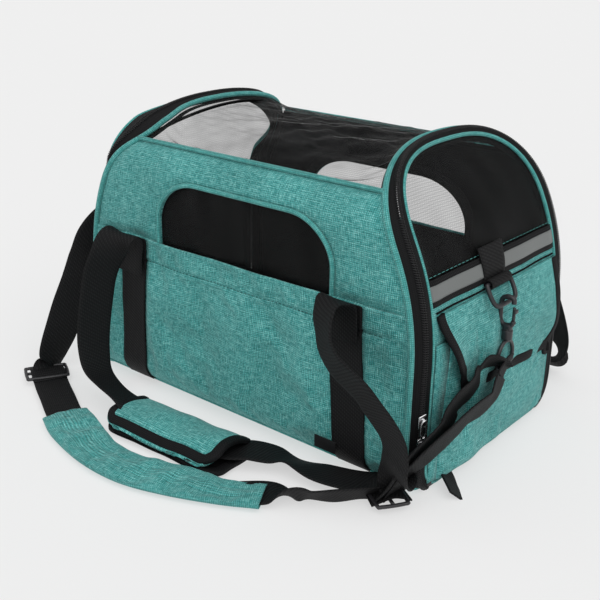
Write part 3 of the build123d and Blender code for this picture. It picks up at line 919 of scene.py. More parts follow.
def seam_tapes():
    """Black tapes inside the shell: along the roof seams, round the windows and at both ends."""
    tapes = []
    for side in (FRONT, BACK):
        seam = S_SEAM + np.linspace(-7, 5, 4) * MM / SHELL.length
        u, s = np.meshgrid(np.linspace(-1, 1, 80), seam)
        strip = flipped(shell_surface(u, s, -4.4 * MM), side)
        tapes.append(sheet("tape", strip, np.stack([u, s], -1), LINING))
        window = WINDOWS[side]
        grown = (-1.2 * MM, 3 * MM, 8 * MM)
        lines = np.array([window_outline(window, window.hem - 0.010, reach, 120) for reach in grown])
        edge = shell_offset_at(lines[..., 0], SHELL.find(lines[..., 1]), -4.6 * MM)
        tapes.append(sheet("tape", flipped(edge, side), lines, LINING))
    for side in (-1, 1):
        s, u = np.meshgrid(np.linspace(0.06, 0.94, 200), side * np.linspace(0.955, 0.999, 4))
        tapes.append(sheet("tape", shell_surface(u, s, -3.8 * MM), np.stack([u, s], -1), LINING))
    tapes = [thicken(tape, 0.8 * MM) for tape in tapes]
    mark(join("inner_seam_tapes", tapes), "shell", "lining")


def roof():
    """Slack roof net with its two piped seams."""
    s_back = 1 - S_SEAM
    rows, columns = 100, 120
    u, s = spread((-1, 1, columns), (S_SEAM, s_back, rows))
    arc = (s - S_SEAM) / (s_back - S_SEAM)
    droop = -2.5 * MM * (1 - u**2) * np.sin(math.pi * arc) ** 0.8
    loose = (1 - u**8) * np.sin(math.pi * arc) ** 0.6
    flat = np.stack([u * 0.17, (s - 0.5) * SHELL.length], -1)
    fold = 1.5 * MM * ripples(flat * (0.45, 1.7), 0.05, 41)
    fold += 0.8 * MM * ripples(flat * (1.2, 2.4), 0.04, 43)
    points = shell_surface(u, s, droop + fold * loose)
    net = sheet("roof_net_sheet", points, np.stack([points[..., 0], s * SHELL.length], -1), NET)
    rim = (np.abs(u) > 0.985) | (arc < 0.012) | (arc > 0.988)
    settle(net, rim.ravel() * 1.0, 8 * MM, gravity=1.0, shrink=-0.012, stiffness=6)
    mark(net, "shell", "mesh", "roof_mesh")
    cords = long_cord(S_SEAM, 1.5 * MM, 2.3 * MM)
    mark(join("roof_cords", cords), "shell", "piping", "roof_piping")


base()
seam_tapes()
roof()


# ---------------------------------------------------------------- ends
GUSSET_RISE = 4.5 * MM
TAPE_WIDTH = 0.023


def shell_line(side, s, grow=0.0):
    """Rim of the shell at one end."""
    yz = SHELL.point(s) + SHELL.outward(s) * grow
    x = side * (END_X - lean(yz[..., 1]))
    if side == -1:
        x = x + left_skew(yz[..., 0], yz[..., 1])
    return np.stack([x, yz[..., 0], yz[..., 1]], axis=-1)


def door_line(side, s):
    """Rim of a door, which is drawn in from the shell except high on the left end."""
    yz = DOOR.point(s)
    if side == -1:
        flare = left_flare(yz[..., 1:])
        yz = yz * (1 - flare) + (SHELL.point(s) - SHELL.outward(s) * 1.5 * MM) * flare
    return np.stack([side * door_reach(side, yz[..., 1]), yz[..., 0], yz[..., 1]], axis=-1)


def gusset_point(side, s, k, rise=0.0):
    """Point on the rounded zip gusset: k is 0 at the shell cord and 1 at the door cord."""
    rise = rise + GUSSET_RISE * math.sin(math.pi * k) ** 0.8
    shell = shell_line(side, s)
    door = door_line(side, s)
    way = door - shell
    along = np.gradient(shell, axis=0)
    normal = unit(np.cross(along, way))
    outwards = shell - np.array([side * 0.13, 0, 0.13])
    normal = normal * np.sign(np.sum(normal * outwards, axis=-1, keepdims=True))
    return shell + way * k + normal * rise


def coil_path(side, k, phase, turns_per_metre=450, radius=1.2 * MM):
    """Spiral of a coil zip along the gusset at k."""
    s = np.linspace(ZIP_START, 1 - ZIP_START, 2400)
    centre = gusset_point(side, s, k)
    way = unit(gusset_point(side, s, 1.0) - gusset_point(side, s, 0.0))
    tangent = unit(np.gradient(centre, axis=0))
    normal = unit(np.cross(tangent, way))
    outwards = centre - np.array([side * 0.13, 0, 0.13])
    normal *= np.sign(np.sum(normal * outwards, axis=1, keepdims=True))
    length = np.linalg.norm(np.diff(centre, axis=0), axis=1).sum()
    turns = int(length * turns_per_metre)
    fine = resample(np.hstack([centre, way, normal]), turns * 8)
    angle = np.arange(len(fine)) * 2 * math.pi / 8 + phase
    wide = fine[:, 3:6] * np.cos(angle)[:, None] * radius * 1.25
    tall = fine[:, 6:9] * np.sin(angle)[:, None] * radius
    return fine[:, :3] + (wide + tall) + fine[:, 6:9] * 0.5 * MM


ZIP_START = np.interp(-0.100, SHELL.line[:200, 0][::-1], SHELL.at[:200][::-1])
ENDS = ((1, "right"), (-1, "left"))


def end_cords(side, name):
    """Piping round the rim of the shell and round the door."""
    loop = np.linspace(0, 1, 420, endpoint=False)
    rim = shell_line(side, loop, 0.6 * MM)
    shell_cord = tube(f"{name}_end_cord", rim, 3.0 * MM, PIPING, closed=True)
    mark(shell_cord, "shell", "piping", *(["end_piping"] if side == 1 else []))
    door_cord = tube(f"{name}_door_cord", door_line(side, loop), 2.2 * MM, PIPING, closed=True)
    mark(door_cord, f"{name}_door", "piping", f"{name}_door_edge")


def zip_halves(side, name):
    """Tape and coil on the shell's side of the zip, then on the door's."""
    s = np.linspace(ZIP_START, 1 - ZIP_START, 420)
    halves = (
        (0.0, 0.47, 0.455, 0.0, "shell", "shell"),
        (0.53, 1.0, 0.545, math.pi, f"{name}_door", "door"),
    )
    for low, high, k, phase, body, label in halves:
        places = np.linspace(low, high, 7)
        points = np.stack([gusset_point(side, s, place) for place in places], axis=1)
        steps = np.linalg.norm(np.diff(points[:, 0], axis=0), axis=1)
        reach = np.concatenate([[0], np.cumsum(steps)])
        uvs = np.stack(np.broadcast_arrays(reach[:, None], places[None] * TAPE_WIDTH), -1)
        tape = sheet(f"{name}_{label}_tape", points, uvs, TAPE)
        coil = tube(f"{name}_{label}_coil", coil_path(side, k, phase), 0.55 * MM, COIL, sides=5)
        first = side == 1 and body == "shell"
        mark(thicken(tape, 0.9 * MM, 0), body, "zip_tape", *(["shell_zip_tape"] if first else []))
        mark(coil, body, "zip_coil", *(["zip_coils"] if first else []))


def door_inner_tape(side, name):
    """Black tape behind the door's edge."""
    edge = door_line(side, np.linspace(0.04, 0.96, 260))
    centre = np.array([0, 0, 0.16])
    inward = unit((centre - edge) * (0, 1, 1))
    edge = edge - (side * 3.0 * MM, 0, 0)
    rows = np.stack([edge + inward * reach for reach in (-1.0 * MM, 3.0 * MM, 8.0 * MM)])
    tape = sheet(f"{name}_door_inner_tape", rows, rows[..., 1:], LINING)
    mark(thicken(tape, 0.8 * MM, 0), f"{name}_door", "lining")


def hinge_cloth(side, name):
    """Cloth along the bottom of the door, spanning from the shell to the door."""
    low = np.linspace(-ZIP_START, ZIP_START, 60)
    strips = []
    for k in np.linspace(0, 1, 5):
        part = gusset_point(side, np.abs(low) + 1e-6, k, -GUSSET_RISE * math.sin(math.pi * k) ** 0.8)
        part[:, 1] *= np.where(low < 0, -1, 1)
        strips.append(part)
    points = np.stack(strips, axis=1)
    hinge = thicken(sheet(f"{name}_hinge_cloth", points, points[..., :2], TEAL), 1.2 * MM, 0)
    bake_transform(hinge)


for side, name in ENDS:
    end_cords(side, name)
    zip_halves(side, name)
    door_inner_tape(side, name)
    hinge_cloth(side, name)


def door_half_width(z, side=1):
    """Half the width of a door at height z; the left one widens to the shell's rim high up."""
    half = len(DOOR.line) // 2
    narrow = -np.interp(z, DOOR.line[:half, 1], DOOR.line[:half, 0])
    if side == 1:
        return narrow
    wide = -np.interp(z + 1.5 * MM, SHELL.line[:half, 1], SHELL.line[:half, 0]) - 1.0 * MM
    return narrow + (wide - narrow) * left_flare(z)


def door_surface(side, y, z, offset=0.0):
    """Door face; offset is outwards."""
    return np.stack([side * (door_reach(side, z) + offset), y, z], axis=-1)


def door_relief(side, y, z):
    """Soft swelling of the door's cloth panel."""
    soft = smoothstep(0, 0.10, 1 - np.abs(y) / door_half_width(z)) * smoothstep(0, 0.02, z)
    return soft * (1.0 * MM + 0.8 * MM * ripples(np.stack([y, z], -1), 0.07, 51 + side))


def door_panel(side, name):
    """Lower cloth panel of a door and its lining."""
    u, z = spread((-1, 1, 90), (0.0032, BAND_HIGH - 0.006, 70))
    y = u * door_half_width(z)
    flat = np.stack([y, z], -1)
    face = door_surface(side, y, z, door_relief(side, y, z))
    panel = sheet(f"{name}_door_skin", face, flat, TEAL)
    mark(thicken(panel, 2.0 * MM), f"{name}_door", "shell_fabric", f"{name}_door_panel")
    lining = sheet(f"{name}_door_lining", door_surface(side, y, z, -3.4 * MM), flat, LINING)
    mark(lining, f"{name}_door", "lining")


def door_net(side, name):
    """Net of a door above its band."""
    top = (DOOR if side == 1 else SHELL).line[:, 1].max() - (0.4 * MM if side == 1 else 1.6 * MM)
    rise = np.linspace(0, 1, 60) ** 0.8
    low = BAND_HIGH - 0.010
    u, z = np.meshgrid(np.linspace(-1, 1, 80), low + (top - BAND_HIGH + 0.010) * rise)
    y = u * door_half_width(z, side)
    flat = np.stack([y, z], -1)
    soft = smoothstep(0, 0.12, 1 - np.abs(u)) * smoothstep(0, 0.03, top - z)
    bulge = soft * (-1.5 * MM + 0.9 * MM * ripples(flat, 0.055, 61 + side)) - 0.8 * MM
    net = sheet(f"{name}_door_net", door_surface(side, y, z, bulge), flat, NET)
    mark(net, f"{name}_door", "mesh", f"{name}_door_mesh")


def door_band(side, name):
    """Reflective band: black ribbon with a grey stripe, and a row of stitches above it."""
    for low, high, lift, material, label in (
        (BAND_LOW, BAND_HIGH, 1.1 * MM, BINDING, "band_ribbon"),
        (BAND_LOW + 5.5 * MM, BAND_HIGH - 5.0 * MM, 1.7 * MM, REFLECT, "band_stripe"),
    ):
        u, z = spread((-1, 1, 90), (low, high, 8))
        y = u * (door_half_width(z) - 1.5 * MM)
        wavy = lift + door_relief(side, y, z)
        strip = door_surface(side, y, z, wavy)
        strip = sheet(f"{name}_{label}", strip, np.stack([y, z], -1), material)
        nodes = [f"{name}_band"] if material is BINDING else []
        mark(thicken(strip, 0.8 * MM), f"{name}_door", "reflective", *nodes)
    y = np.linspace(-1, 1, 160) * (door_half_width(BAND_HIGH) - 4 * MM)
    line = door_surface(side, y, np.full(160, BAND_HIGH + 2.0 * MM), 0.9 * MM)
    normals = np.tile((side, 0.0, 0.2), (160, 1))
    stitches = stitch_row(f"{name}_band_stitch", line, normals, THREAD, 4.2 * MM, 2.6 * MM)
    mark(stitches, f"{name}_door", "shell_fabric")


for side, name in ENDS:
    door_panel(side, name)
    door_net(side, name)
    door_band(side, name)

# blank woven label on the front wall, beside the right strap leg
LABEL_SIZE = (0.026, 0.0012, 0.013)
LABEL_AT = (0.126, -0.1462, 0.0265)
label = rounded_box("label_patch", LABEL_SIZE, LABEL_AT, LABEL, 0.4 * MM)
mark(label, "shell", "label", "blank_label")


# ---------------------------------------------------------------- bound edges
BINDING_WIDTH = 10.5 * MM


def bind_edge(name, outline, surface, thickness, overhang=0.8 * MM):
    """Binding tape folded over a cloth piece's edge, given in the cloth's own flat coordinates."""
    slope = unit(np.gradient(outline, axis=0))
    inward = np.stack([-slope[:, 1], slope[:, 0]], axis=1)
    inward *= np.sign(np.mean(np.sum(inward * (outline.mean(axis=0) - outline), axis=1)))
    rim = surface(*(outline - inward * overhang).T)
    inner = surface(*(outline + inward * (BINDING_WIDTH - overhang)).T)
    section = full_section(BINDING_WIDTH, thickness)
    return swept(name, (rim + inner) / 2, inner - rim, section, BINDING)


def rounded_corner(centre, radius, start, finish, count=12):
    turn = np.radians(np.linspace(start, finish, count))
    return [(centre[0] + radius * math.cos(t), centre[1] + radius * math.sin(t)) for t in turn]


# ---------------------------------------------------------------- cargo pocket and flap
POUCH_LOW = 0.009
POUCH_HIGH = 0.150


def pouch_half(z):
    """Half the width of the cargo pocket at height z."""
    return 0.097 + 0.008 * smoothstep(0.145, 0.035, z)


def pouch_front():
    """Swelling front of the pocket, with one slanting valley."""
    u, v = spread((-1, 1, 90), (0, 1, 60))
    z = POUCH_LOW + v * (POUCH_HIGH - POUCH_LOW)
    y = u * pouch_half(z)
    flat = np.stack([y, z], -1)
    swell = 6.0 * MM * (1 - np.abs(u) ** 3.5) ** 0.6 * np.sin(math.pi * (0.16 + 0.72 * v)) ** 0.8
    valley = bell(u + 0.70 - 0.22 * v, 0.055) * smoothstep(0.05, 0.4, v)
    swell += (1.2 * MM * ripples(flat, 0.05, 81) - 3.2 * MM * valley) * (1 - u**6)
    pocket = sheet("cargo_front", door_surface(1, y, z, 4.2 * MM + swell), flat, TEAL)
    edge = (np.abs(u) > 0.98) | (v < 0.02) | (v > 0.98)
    settle(pocket, edge.ravel() * 1.0, 2.5 * MM, pressure=0.3, shrink=-0.02)
    return thicken(pocket, 1.6 * MM, 0)


def pouch_gusset(way, name):
    """Side of the pocket, from its front back to the door's cord."""
    rows = []
    for place_z in np.linspace(POUCH_LOW, POUCH_HIGH, 30):
        half = float(pouch_half(place_z))
        fold = 1.0 * MM * math.sin(place_z * 65)
        middle = (2.4 + fold / MM * 0.3, (half + DOOR_CORD_HALF) / 2)
        across = ((1.9, DOOR_CORD_HALF), middle, (4.4, half))
        face = DOOR_X - float(lean(place_z))
        rows.append([(face + out * MM, way * reach, place_z) for out, reach in across])
    rows = np.array(rows)
    gusset = sheet(name, rows, rows[..., [1, 2]], TEAL)
    mark(thicken(gusset, 1.2 * MM, 0), "right_door", "shell_fabric")


def pouch_floor():
    """Strip that closes the pocket from below."""
    y = np.linspace(-0.104, 0.104, 60)
    steps = ((0.0, 0.001), (2 * MM, 0.0), (4.2 * MM, 0.0))
    edge = np.stack([np.full(60, DOOR_X), y, np.full(60, POUCH_LOW)], -1)
    rows = np.stack([edge + (out, 0, up) for out, up in steps])
    return thicken(sheet("floor", rows, rows[..., :2], TEAL), 1.2 * MM, 0)


front = pouch_front()
pouch_gusset(-1, "cargo_gusset_front")
pouch_gusset(1, "cargo_gusset_back")
mark(join("cargo_pouch", [front, pouch_floor()]), "right_door", "shell_fabric", "cargo_pocket")

FLAP_TOP = 0.177
FLAP_BOTTOM = 0.084


def flap_surface(y, z):
    """Point on the flap over the cargo pocket, y and z being its place seen square on."""
    v = np.clip((FLAP_TOP - z) / (FLAP_TOP - FLAP_BOTTOM), 0, 1.1)
    out = 2.0 * MM + 9.0 * MM * smoothstep(0, 0.6, v) ** 0.9
    out = out + 8.0 * MM * smoothstep(-0.070, -0.112, y) * smoothstep(0.05, 0.45, v)
    out = out - 2.5 * MM * smoothstep(0.085, 0.118, y) * smoothstep(0.1, 0.6, v)
    folds = 1.1 * MM * ripples(np.stack([y, z], -1), 0.05, 91)
    folds = folds - 2.6 * MM * bell(y + 0.052 + 0.10 * (z - 0.13), 0.011)
    folds = folds + 1.6 * MM * bell(y + 0.030, 0.012)
    out = out + folds * smoothstep(0.08, 0.6, v)
    return np.stack([DOOR_X - lean(z) + out, y, z], -1)


def flap_edge():
    """Free edge of the flap, from the upper front corner down, along and up the other side."""
    drop = np.linspace(0, 1, 20)
    front = [(-0.112 + 0.010 * t + 0.012 * t**3, FLAP_TOP - 0.001 - t * 0.060) for t in drop]
    back = [(0.118, FLAP_TOP - 0.001 - t * 0.058) for t in drop]
    lower_front = rounded_corner((-0.064, 0.1165), 0.025, 180, 262)
    lower_back = rounded_corner((0.086, 0.1135), 0.032, 276, 360)
    return spline(front[:-1] + lower_front + lower_back + back[::-1], 240)


def cargo_flap():
    """Flap over the pocket, its bound edge, and the dark seam it hangs from."""
    rim = flap_edge()
    middle = len(rim) // 2
    front_half = resample(rim[: middle + 1], 60)
    back_half = resample(rim[middle:][::-1], 60)
    across = np.linspace(0, 1, 90)[None, :, None]
    flat = front_half[:, None] * (1 - across) + back_half[:, None] * across
    flap = sheet("flap_cloth", flap_surface(flat[..., 0], flat[..., 1]), flat, TEAL)
    mark(thicken(flap, 2.0 * MM, 0), "cargo_flap", "shell_fabric", "cargo_flap")
    mark(bind_edge("flap_binding", rim, flap_surface, 4.2 * MM), "cargo_flap", "piping")
    y = np.linspace(-0.113, 0.113, 60)
    lift = 1.2 * MM + door_relief(1, y, np.full(60, FLAP_TOP))
    seam = door_surface(1, y, np.full(60, FLAP_TOP + 2.5 * MM), lift)
    mark(tube("flap_seam", seam, 0.9 * MM, LINING), "right_door", "lining")


cargo_flap()


# ---------------------------------------------------------------- ring, hook and eye
def hardware_loop(name, outline, radius, closed=True, count=90, sides=12):
    path = spline(np.array(outline) * MM, count, closed)
    return tube(name, path, radius * MM, PLASTIC, closed=closed, sides=sides)


RING_Y = -10.0
RING_BAR = (224.5, 184.0)
HOOK_X = 239.5
LEAN_WAY = (math.sin(math.radians(29.3)), math.cos(math.radians(29.3)))


def bar(name, x, heights, radius, sides):
    """Upright round bar in the middle plane of the hook."""
    path = np.array([(x, RING_Y, z) for z in heights]) * MM
    return tube(name, path, radius * MM, PLASTIC, sides=sides)


def make_ring(name):
    """D-ring hanging at its lean from the tab: half outline as (across, down), then mirrored."""
    half = [(8, 0), (20, 0), (21.8, 3), (21.8, 13), (19, 20.5), (12, 22.7)]
    outline = [(-20, 0), (-8, 0)] + half + [(-a, d) for a, d in half[:1:-1]]
    x, z = RING_BAR
    outline = [(x + LEAN_WAY[0] * d, RING_Y + a, z - LEAN_WAY[1] * d) for a, d in outline]
    return hardware_loop(name, outline, 2.3, count=110)


def make_hook(name):
    """Snap hook: open C with a swivel barrel, drawn in the X-Z plane."""
    nose = [(243.6, 164.5), (243.2, 168.6), (239.6, 170.2), (235.2, 169.9), (231.4, 167.2), (230.3, 161)]
    nose += [(230.3, 152), (230.8, 146), (233.6, 142), (238.5, 141.2), (243, 142.6), (245, 146.5)]
    path = np.array([(x, RING_Y, z) for x, z in nose])
    neck_at = (239.3 * MM, RING_Y * MM, 139 * MM)
    parts = [
        hardware_loop("bar", path, 2.5, closed=False, count=70),
        rounded_box("neck", (9 * MM, 7 * MM, 8 * MM), neck_at, PLASTIC, 2 * MM),
        bar("barrel", HOOK_X, (127.6, 128, 130, 132, 134, 136, 136.6), 5.4, 24),
        bar("collar", HOOK_X, (136.2, 137.4, 138.2), 4.2, 24),
    ]
    return join(name, parts)


def make_gate(name):
    """Sprung bar that closes the hook's mouth, with a stub for the thumb."""
    lever = bar("bar", 244.6, (147.2, 150, 154, 158, 160.8), 1.6, 12)
    thumb_at = (246.4 * MM, RING_Y * MM, 157 * MM)
    thumb = rounded_box("thumb", (2.6 * MM, 6.4 * MM, 4 * MM), thumb_at, PLASTIC, 0.9 * MM)
    return join(name, [lever, thumb])


def make_eye(name):
    """Eye under the hook that the strap passes through, with its pin."""
    half = 14.5
    left = [(-half, 103), (-half, 112), (-half + 3, 119), (-6, 124), (0, 125.2)]
    right = [(-a, z) for a, z in left[-2::-1]]
    foot = [(half - 3, 100.6), (0, 100.4), (-half + 3, 100.6)]
    outline = [(HOOK_X, RING_Y + a, z) for a, z in left + right + foot]
    loop = hardware_loop("loop", outline, 2.0, count=110)
    return join(name, [loop, bar("pin", HOOK_X, (124.5, 126, 129, 131), 2.1, 16)])


def mirror(piece, place=Matrix.Identity(4)):
    """Swap the piece's ends, then put it in place."""
    piece.data.transform(place @ Matrix.Scale(-1, 4, (1, 0, 0)))
    piece.data.flip_normals()
    return piece


def to_left(piece):
    """Mirror right-end hardware to the left end, turned level as the left hook lies."""
    pivot = Vector((-237.209, RING_Y, 164.204)) * MM
    arm = Vector((-230.054, -31.8, 174.102)) * MM
    level = Matrix.Rotation(-math.pi / 2, 4, "X")
    return mirror(piece, Matrix.Translation(arm) @ level @ Matrix.Translation(-pivot))


def tab_points(side):
    """Webbing tab: up the back, over the seam and round the ring bar."""
    turn = np.radians(np.linspace(200, -120, 14))
    x, z = RING_BAR
    wrapped = [(x + 4.4 * math.cos(a), z + 4.4 * math.sin(a)) for a in turn]
    line = [(211.6, 218), (213.5, 213.5), (216, 206), (219.2, 196)] + wrapped
    return [(side * x, RING_Y, z, 0, 1, 0) for x, z in line]


for side, name in ENDS:
    ring = make_ring(f"{name}_ring_loop")
    if side == -1:
        mirror(ring)
    mark(ring, f"{name}_ring", "hardware_plastic", f"{name}_d_ring")
    made = [
        (make_hook(f"{name}_hook_body"), f"{name}_ring", f"{name}_snap_hook"),
        (make_gate(f"{name}_gate_lever"), f"{name}_gate", f"{name}_hook_gate"),
        (make_eye(f"{name}_eye_loop"), f"{name}_eye", f"{name}_swivel_eye"),
    ]
    for piece, body, node in made:
        mark(to_left(piece) if side == -1 else piece, body, "hardware_plastic", node)
    wider = ((0, 1.22), (0.45, 1.05), (1, 1))
    tab = ribbon(f"{name}_tab_webbing", tab_points(side), WEB, step=1.5 * MM, stops=wider)
    mark(tab, f"{name}_door", "webbing", f"{name}_ring_tab")

# ---------------------------------------------------------------- shoulder strap
OUTER = [
    (240, -18, 101, 76), (240, -30, 107, 74), (239, -52, 112, 74), (240, -61, 107, 76),
    (241, -72, 100, 77), (241, -86, 96, 77), (241, -98, 93, 76), (240, -106, 86, 74),
    (239, -111, 75, 74), (238, -118, 70, 74), (236, -130, 64, 74), (233, -142, 58, 74),
    (229, -148, 51, 75), (224, -153, 40, 77), (217, -156, 24, 78), (208, -157, 9, 78),
]
INNER = [
    (243, -8, 100, 78), (246, -20, 101, 77), (247, -28, 97, 76), (247, -32, 90, 76), (247, -38, 82, 77),
    (246, -50, 75, 77), (245, -71, 74, 77), (244, -89, 70, 77), (242, -111, 63, 76),
    (240, -121, 59, 75), (237, -136, 53, 75), (232, -142, 45, 76), (225, -147, 35, 77),
    (219, -149, 24, 78), (211, -150, 9, 78),
]


def split_strap(name, controls, cuts, end, nodes=None):
    """One strap as a chain of pieces, cut at the given places along it."""
    fine = spline(strap_frames(controls), 240)
    gathered = ((0, 0.7), (0.12, 0.85), (0.3, 1), (1, 1))
    sections = tapered(flat_section(WEBBING, STRAP_THICKNESS), 240, gathered)
    for i, (low, high) in enumerate(zip(cuts, cuts[1:])):
        span = slice(int(low * 239), int(high * 239) + 1)
        part = fine[span]
        piece = swept(f"{name}_{i + 1}", part[:, :3], part[:, 3:], sections[span], WEB)
        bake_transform(piece)
        if nodes:
            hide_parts(f"{end}_strap_{nodes[i]}")


STRAP_NODES = ("loop", "upper", "lower")
split_strap("right_strap_outer", OUTER, (0, 0.12, 0.26, 1), "right", STRAP_NODES)
split_strap("right_strap_inner", INNER, (0, 0.12, 0.26, 1), "right")

LEFT_STRAP = [
    (-232, -97, 174, 0, 0, 1), (-235, -108, 176, -0.2, -0.1, 1), (-238, -127, 157, 15),
    (-240, -136, 134, 10), (-241, -149, 106, 10), (-243, -163, 78, 10),
    (-245, -175, 50, 15), (-248, -186, 26, 35), (-246, -194, 11, 55), (-236, -202, 8, None),
    (-224, -210, 7, None),
]
split_strap("left_strap_run", LEFT_STRAP, (0, 0.10, 0.24, 1), "left", STRAP_NODES)

FLOOR_RUN = [
    (213, -134, 6, 72), (203, -151, 6, 72), (195, -163, 6, 70), (187, -171, 6, 70), (173, -189, 6, 66),
    (155, -204, 8, 78), (145, -213, 8, 68), (122, -222, 6, None),
    (85, -250, 5, None), (42, -264, 5, None), (-4, -278, 5, None), (-54, -279, 5, None),
    (-108, -265, 5, None), (-144, -251, 5, None), (-182, -232, 6, None),
    (-204, -221, 6, None), (-224, -210, 5, None), (-238, -203, 4, None),
]
mark(ribbon("floor_run_webbing", FLOOR_RUN, WEB), "shell", "webbing", "shoulder_webbing")

# padded shoulder sleeve: middle line and half width, millimetres
PAD_LINE = [
    (121, -231, 19), (85, -250.5, 19.5), (42, -264.5, 24.5), (-4, -278.5, 24), (-54, -279.5, 23),
    (-108, -265, 26), (-144, -251, 24.5),
]


def pad_surface(u, v):
    """u runs 0..1 along the pad, v 0..1 once round its cross-section."""
    line = spline([(x * MM, y * MM, half * MM) for x, y, half in PAD_LINE], 200)
    at = np.linspace(0, 1, 200)
    centre = np.stack([np.interp(u, at, line[:, k]) for k in (0, 1)] + [np.zeros_like(u)], -1)
    half = np.interp(u, at, line[:, 2])
    slope = unit(np.gradient(line[:, :2], axis=0))
    way = np.stack([np.interp(u, at, slope[:, k]) for k in (0, 1)], -1)
    across = np.stack([-way[..., 1], way[..., 0], np.zeros_like(u)], -1)
    angle = 2 * math.pi * v
    rise = np.sign(np.sin(angle)) * np.abs(np.sin(angle)) ** 0.6
    width = np.sign(np.cos(angle)) * np.abs(np.cos(angle)) ** 0.8
    tall = 4.6 * MM - 0.9 * MM * smoothstep(0.10, 0.0, np.minimum(u, 1 - u))
    folds = -1.5 * MM * (bell(width + 0.35, 0.09) + bell(width - 0.42, 0.08))
    folds = folds * smoothstep(0.02, 0.15, u) * smoothstep(0.02, 0.15, 1 - u)
    crease = 0.7 * MM * ripples(np.stack([u * 0.28, width * 0.03], -1), 0.03, 101)
    lift = 6.0 * MM + rise * tall + (folds + crease) * (rise > 0)
    raised = np.stack([np.zeros_like(u), np.zeros_like(u), lift], -1)
    return centre + across * (width * half)[..., None] + raised


def shoulder_sleeve():
    """Padded sleeve with two folds pressed along it, held flat on the floor."""
    rows, around = 130, 56
    v, u = np.meshgrid(np.linspace(0, 1, around, endpoint=False), np.linspace(0, 1, rows))
    points = pad_surface(u, v)
    flat = np.stack([u * 0.285, v * 0.11], -1)
    faces = grid_faces(rows, around, wrap=True)
    pad = add_mesh("pad_sleeve", points.reshape(-1, 3), faces, flat.reshape(-1, 2), TEAL)
    hold = (np.abs(np.cos(2 * math.pi * v)) > 0.96) | (points[..., 2] < 4 * MM)
    hold = np.maximum(hold * 1.0, ((u < 0.02) | (u > 0.98)) * 0.9)
    settle(pad, hold.ravel(), 2.0 * MM, frames=12, pressure=0.5, shrink=-0.02)
    mark(thicken(pad, 1.2 * MM), "shoulder_pad", "shell_fabric", "shoulder_pad")


shoulder_sleeve()


def make_glide(name, middle, angle):
    """Plastic three-bar adjuster: rounded frame and a bar across it."""
    long, wide, corner = 15.0, 22.6, 4
    half = [(-long, -wide + corner), (-long + corner, -wide)]
    half += [(long - corner, -wide), (long, -wide + corner)]
    outer = half + [(-x, -y) for x, y in half]
    path = spline([(x * MM, y * MM, 7.6 * MM) for x, y in outer], 110, True)
    frame_bar = tube("bar", path, 1.9 * MM, PLASTIC, closed=True, sides=12)
    path = np.array([(0, y, 7.9) for y in np.linspace(-wide, wide, 8)]) * MM
    cross = tube("cross", path, 1.8 * MM, PLASTIC, sides=12)
    piece = join(name, [frame_bar, cross])
    turn = Matrix.Rotation(math.radians(angle), 4, "Z")
    piece.data.transform(Matrix.Translation(Vector(middle) * MM) @ turn)
    return piece


# glide's middle and turn, then the strap's path over its cross bar, lying flat
GLIDES = (
    (
        "right", (203, -153, 0), 56,
        [(213, -136, 6), (208, -144, 10), (203, -152, 12), (198, -160, 10), (192, -168, 6.5)],
    ),
    (
        "left", (-240, -203, 0), 150,
        [(-222, -211, 6), (-231, -207, 9.5), (-240, -202, 11), (-247, -198, 9.5), (-252, -194, 7)],
    ),
)
for name, middle, angle, over in GLIDES:
    glide = make_glide(f"{name}_glide_frame", middle, angle)
    mark(glide, f"{name}_glide", "hardware_plastic", f"{name}_ladder_glide")
    fold = ribbon(f"{name}_strap_fold", [(*place, None) for place in over], WEB, step=1.5 * MM)
    mark(fold, f"{name}_glide", "webbing")

# strap end keeper and tail lying by the corner
keeper_size = (16 * MM, 14 * MM, 7 * MM)
keeper_at = (217 * MM, -109 * MM, 7 * MM)
keeper_turn = Matrix.Rotation(0.5, 3, "Z")
keeper = rounded_box("strap_keeper", keeper_size, keeper_at, PLASTIC, 2.2 * MM, turn=keeper_turn)
mark(keeper, "shell", "hardware_plastic")
TAIL = [
    (206, -66, 9, 60), (215, -76, 10, 60), (228, -86, 8, 62),
    (238, -95, 6, 64), (248, -103, 4, 66), (255, -109, 3, 66),
]
mark(ribbon("strap_tail", TAIL, WEB, width=0.022, step=1.5 * MM), "shell", "webbing")

# ---------------------------------------------------------------- hand loops
FRONT_LOOP = [
    (-144, -151, 140, 1, 0, 0), (-143, -151.5, 160, 1, 0, 0), (-140, -153, 178, 1, 0.05, 0),
    (-139, -160, 187, 0.95, 0.2, -0.1), (-142, -171, 183, 0.85, 0.5, -0.2),
    (-149, -179, 164, 20), (-154, -185, 144, 22), (-156, -190, 118, 22), (-157, -196, 82, 22),
    (-153, -200, 57, 28), (-143, -204, 40, 42), (-121, -207, 31, 58),
    (-97, -208, 25, 60), (-72, -208, 18, None), (-40, -209, 14, None), (20, -206, 13, None),
    (50, -197, 13, None), (64, -189, 15, None), (76, -182, 14, 58),
    (88, -175, 12, 62), (106, -170, 10, 78), (137, -167, 9, 60), (167, -159, 9, 58), (186, -149, 9, 56),
    (203, -144, 11, 0, 0.8, 0.6), (215, -150, 20, 0.5, 0.7, 0.5),
    (221, -165, 36, 54), (228, -178, 55, 54), (230, -181, 70, 56), (228, -184, 86, 60),
    (221, -187, 99, 63), (209, -189, 112, 64), (198, -190, 123, 65), (183, -190, 131, 66),
    (166, -189, 140, 68), (153, -186, 153, 70), (147, -181, 167, 68), (142, -173, 180, 60),
    (142, -163, 187, 0.95, -0.2, 0), (144, -154, 182, 1, -0.05, 0),
    (144, -152, 165, 1, 0, 0), (144, -151.5, 145, 1, 0, 0),
]


def hand_loop(name, controls, body):
    """Handle webbing through the controls, in place of the CAD handle."""
    loop = ribbon(name, controls, WEB)
    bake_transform(loop)
    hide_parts(body)


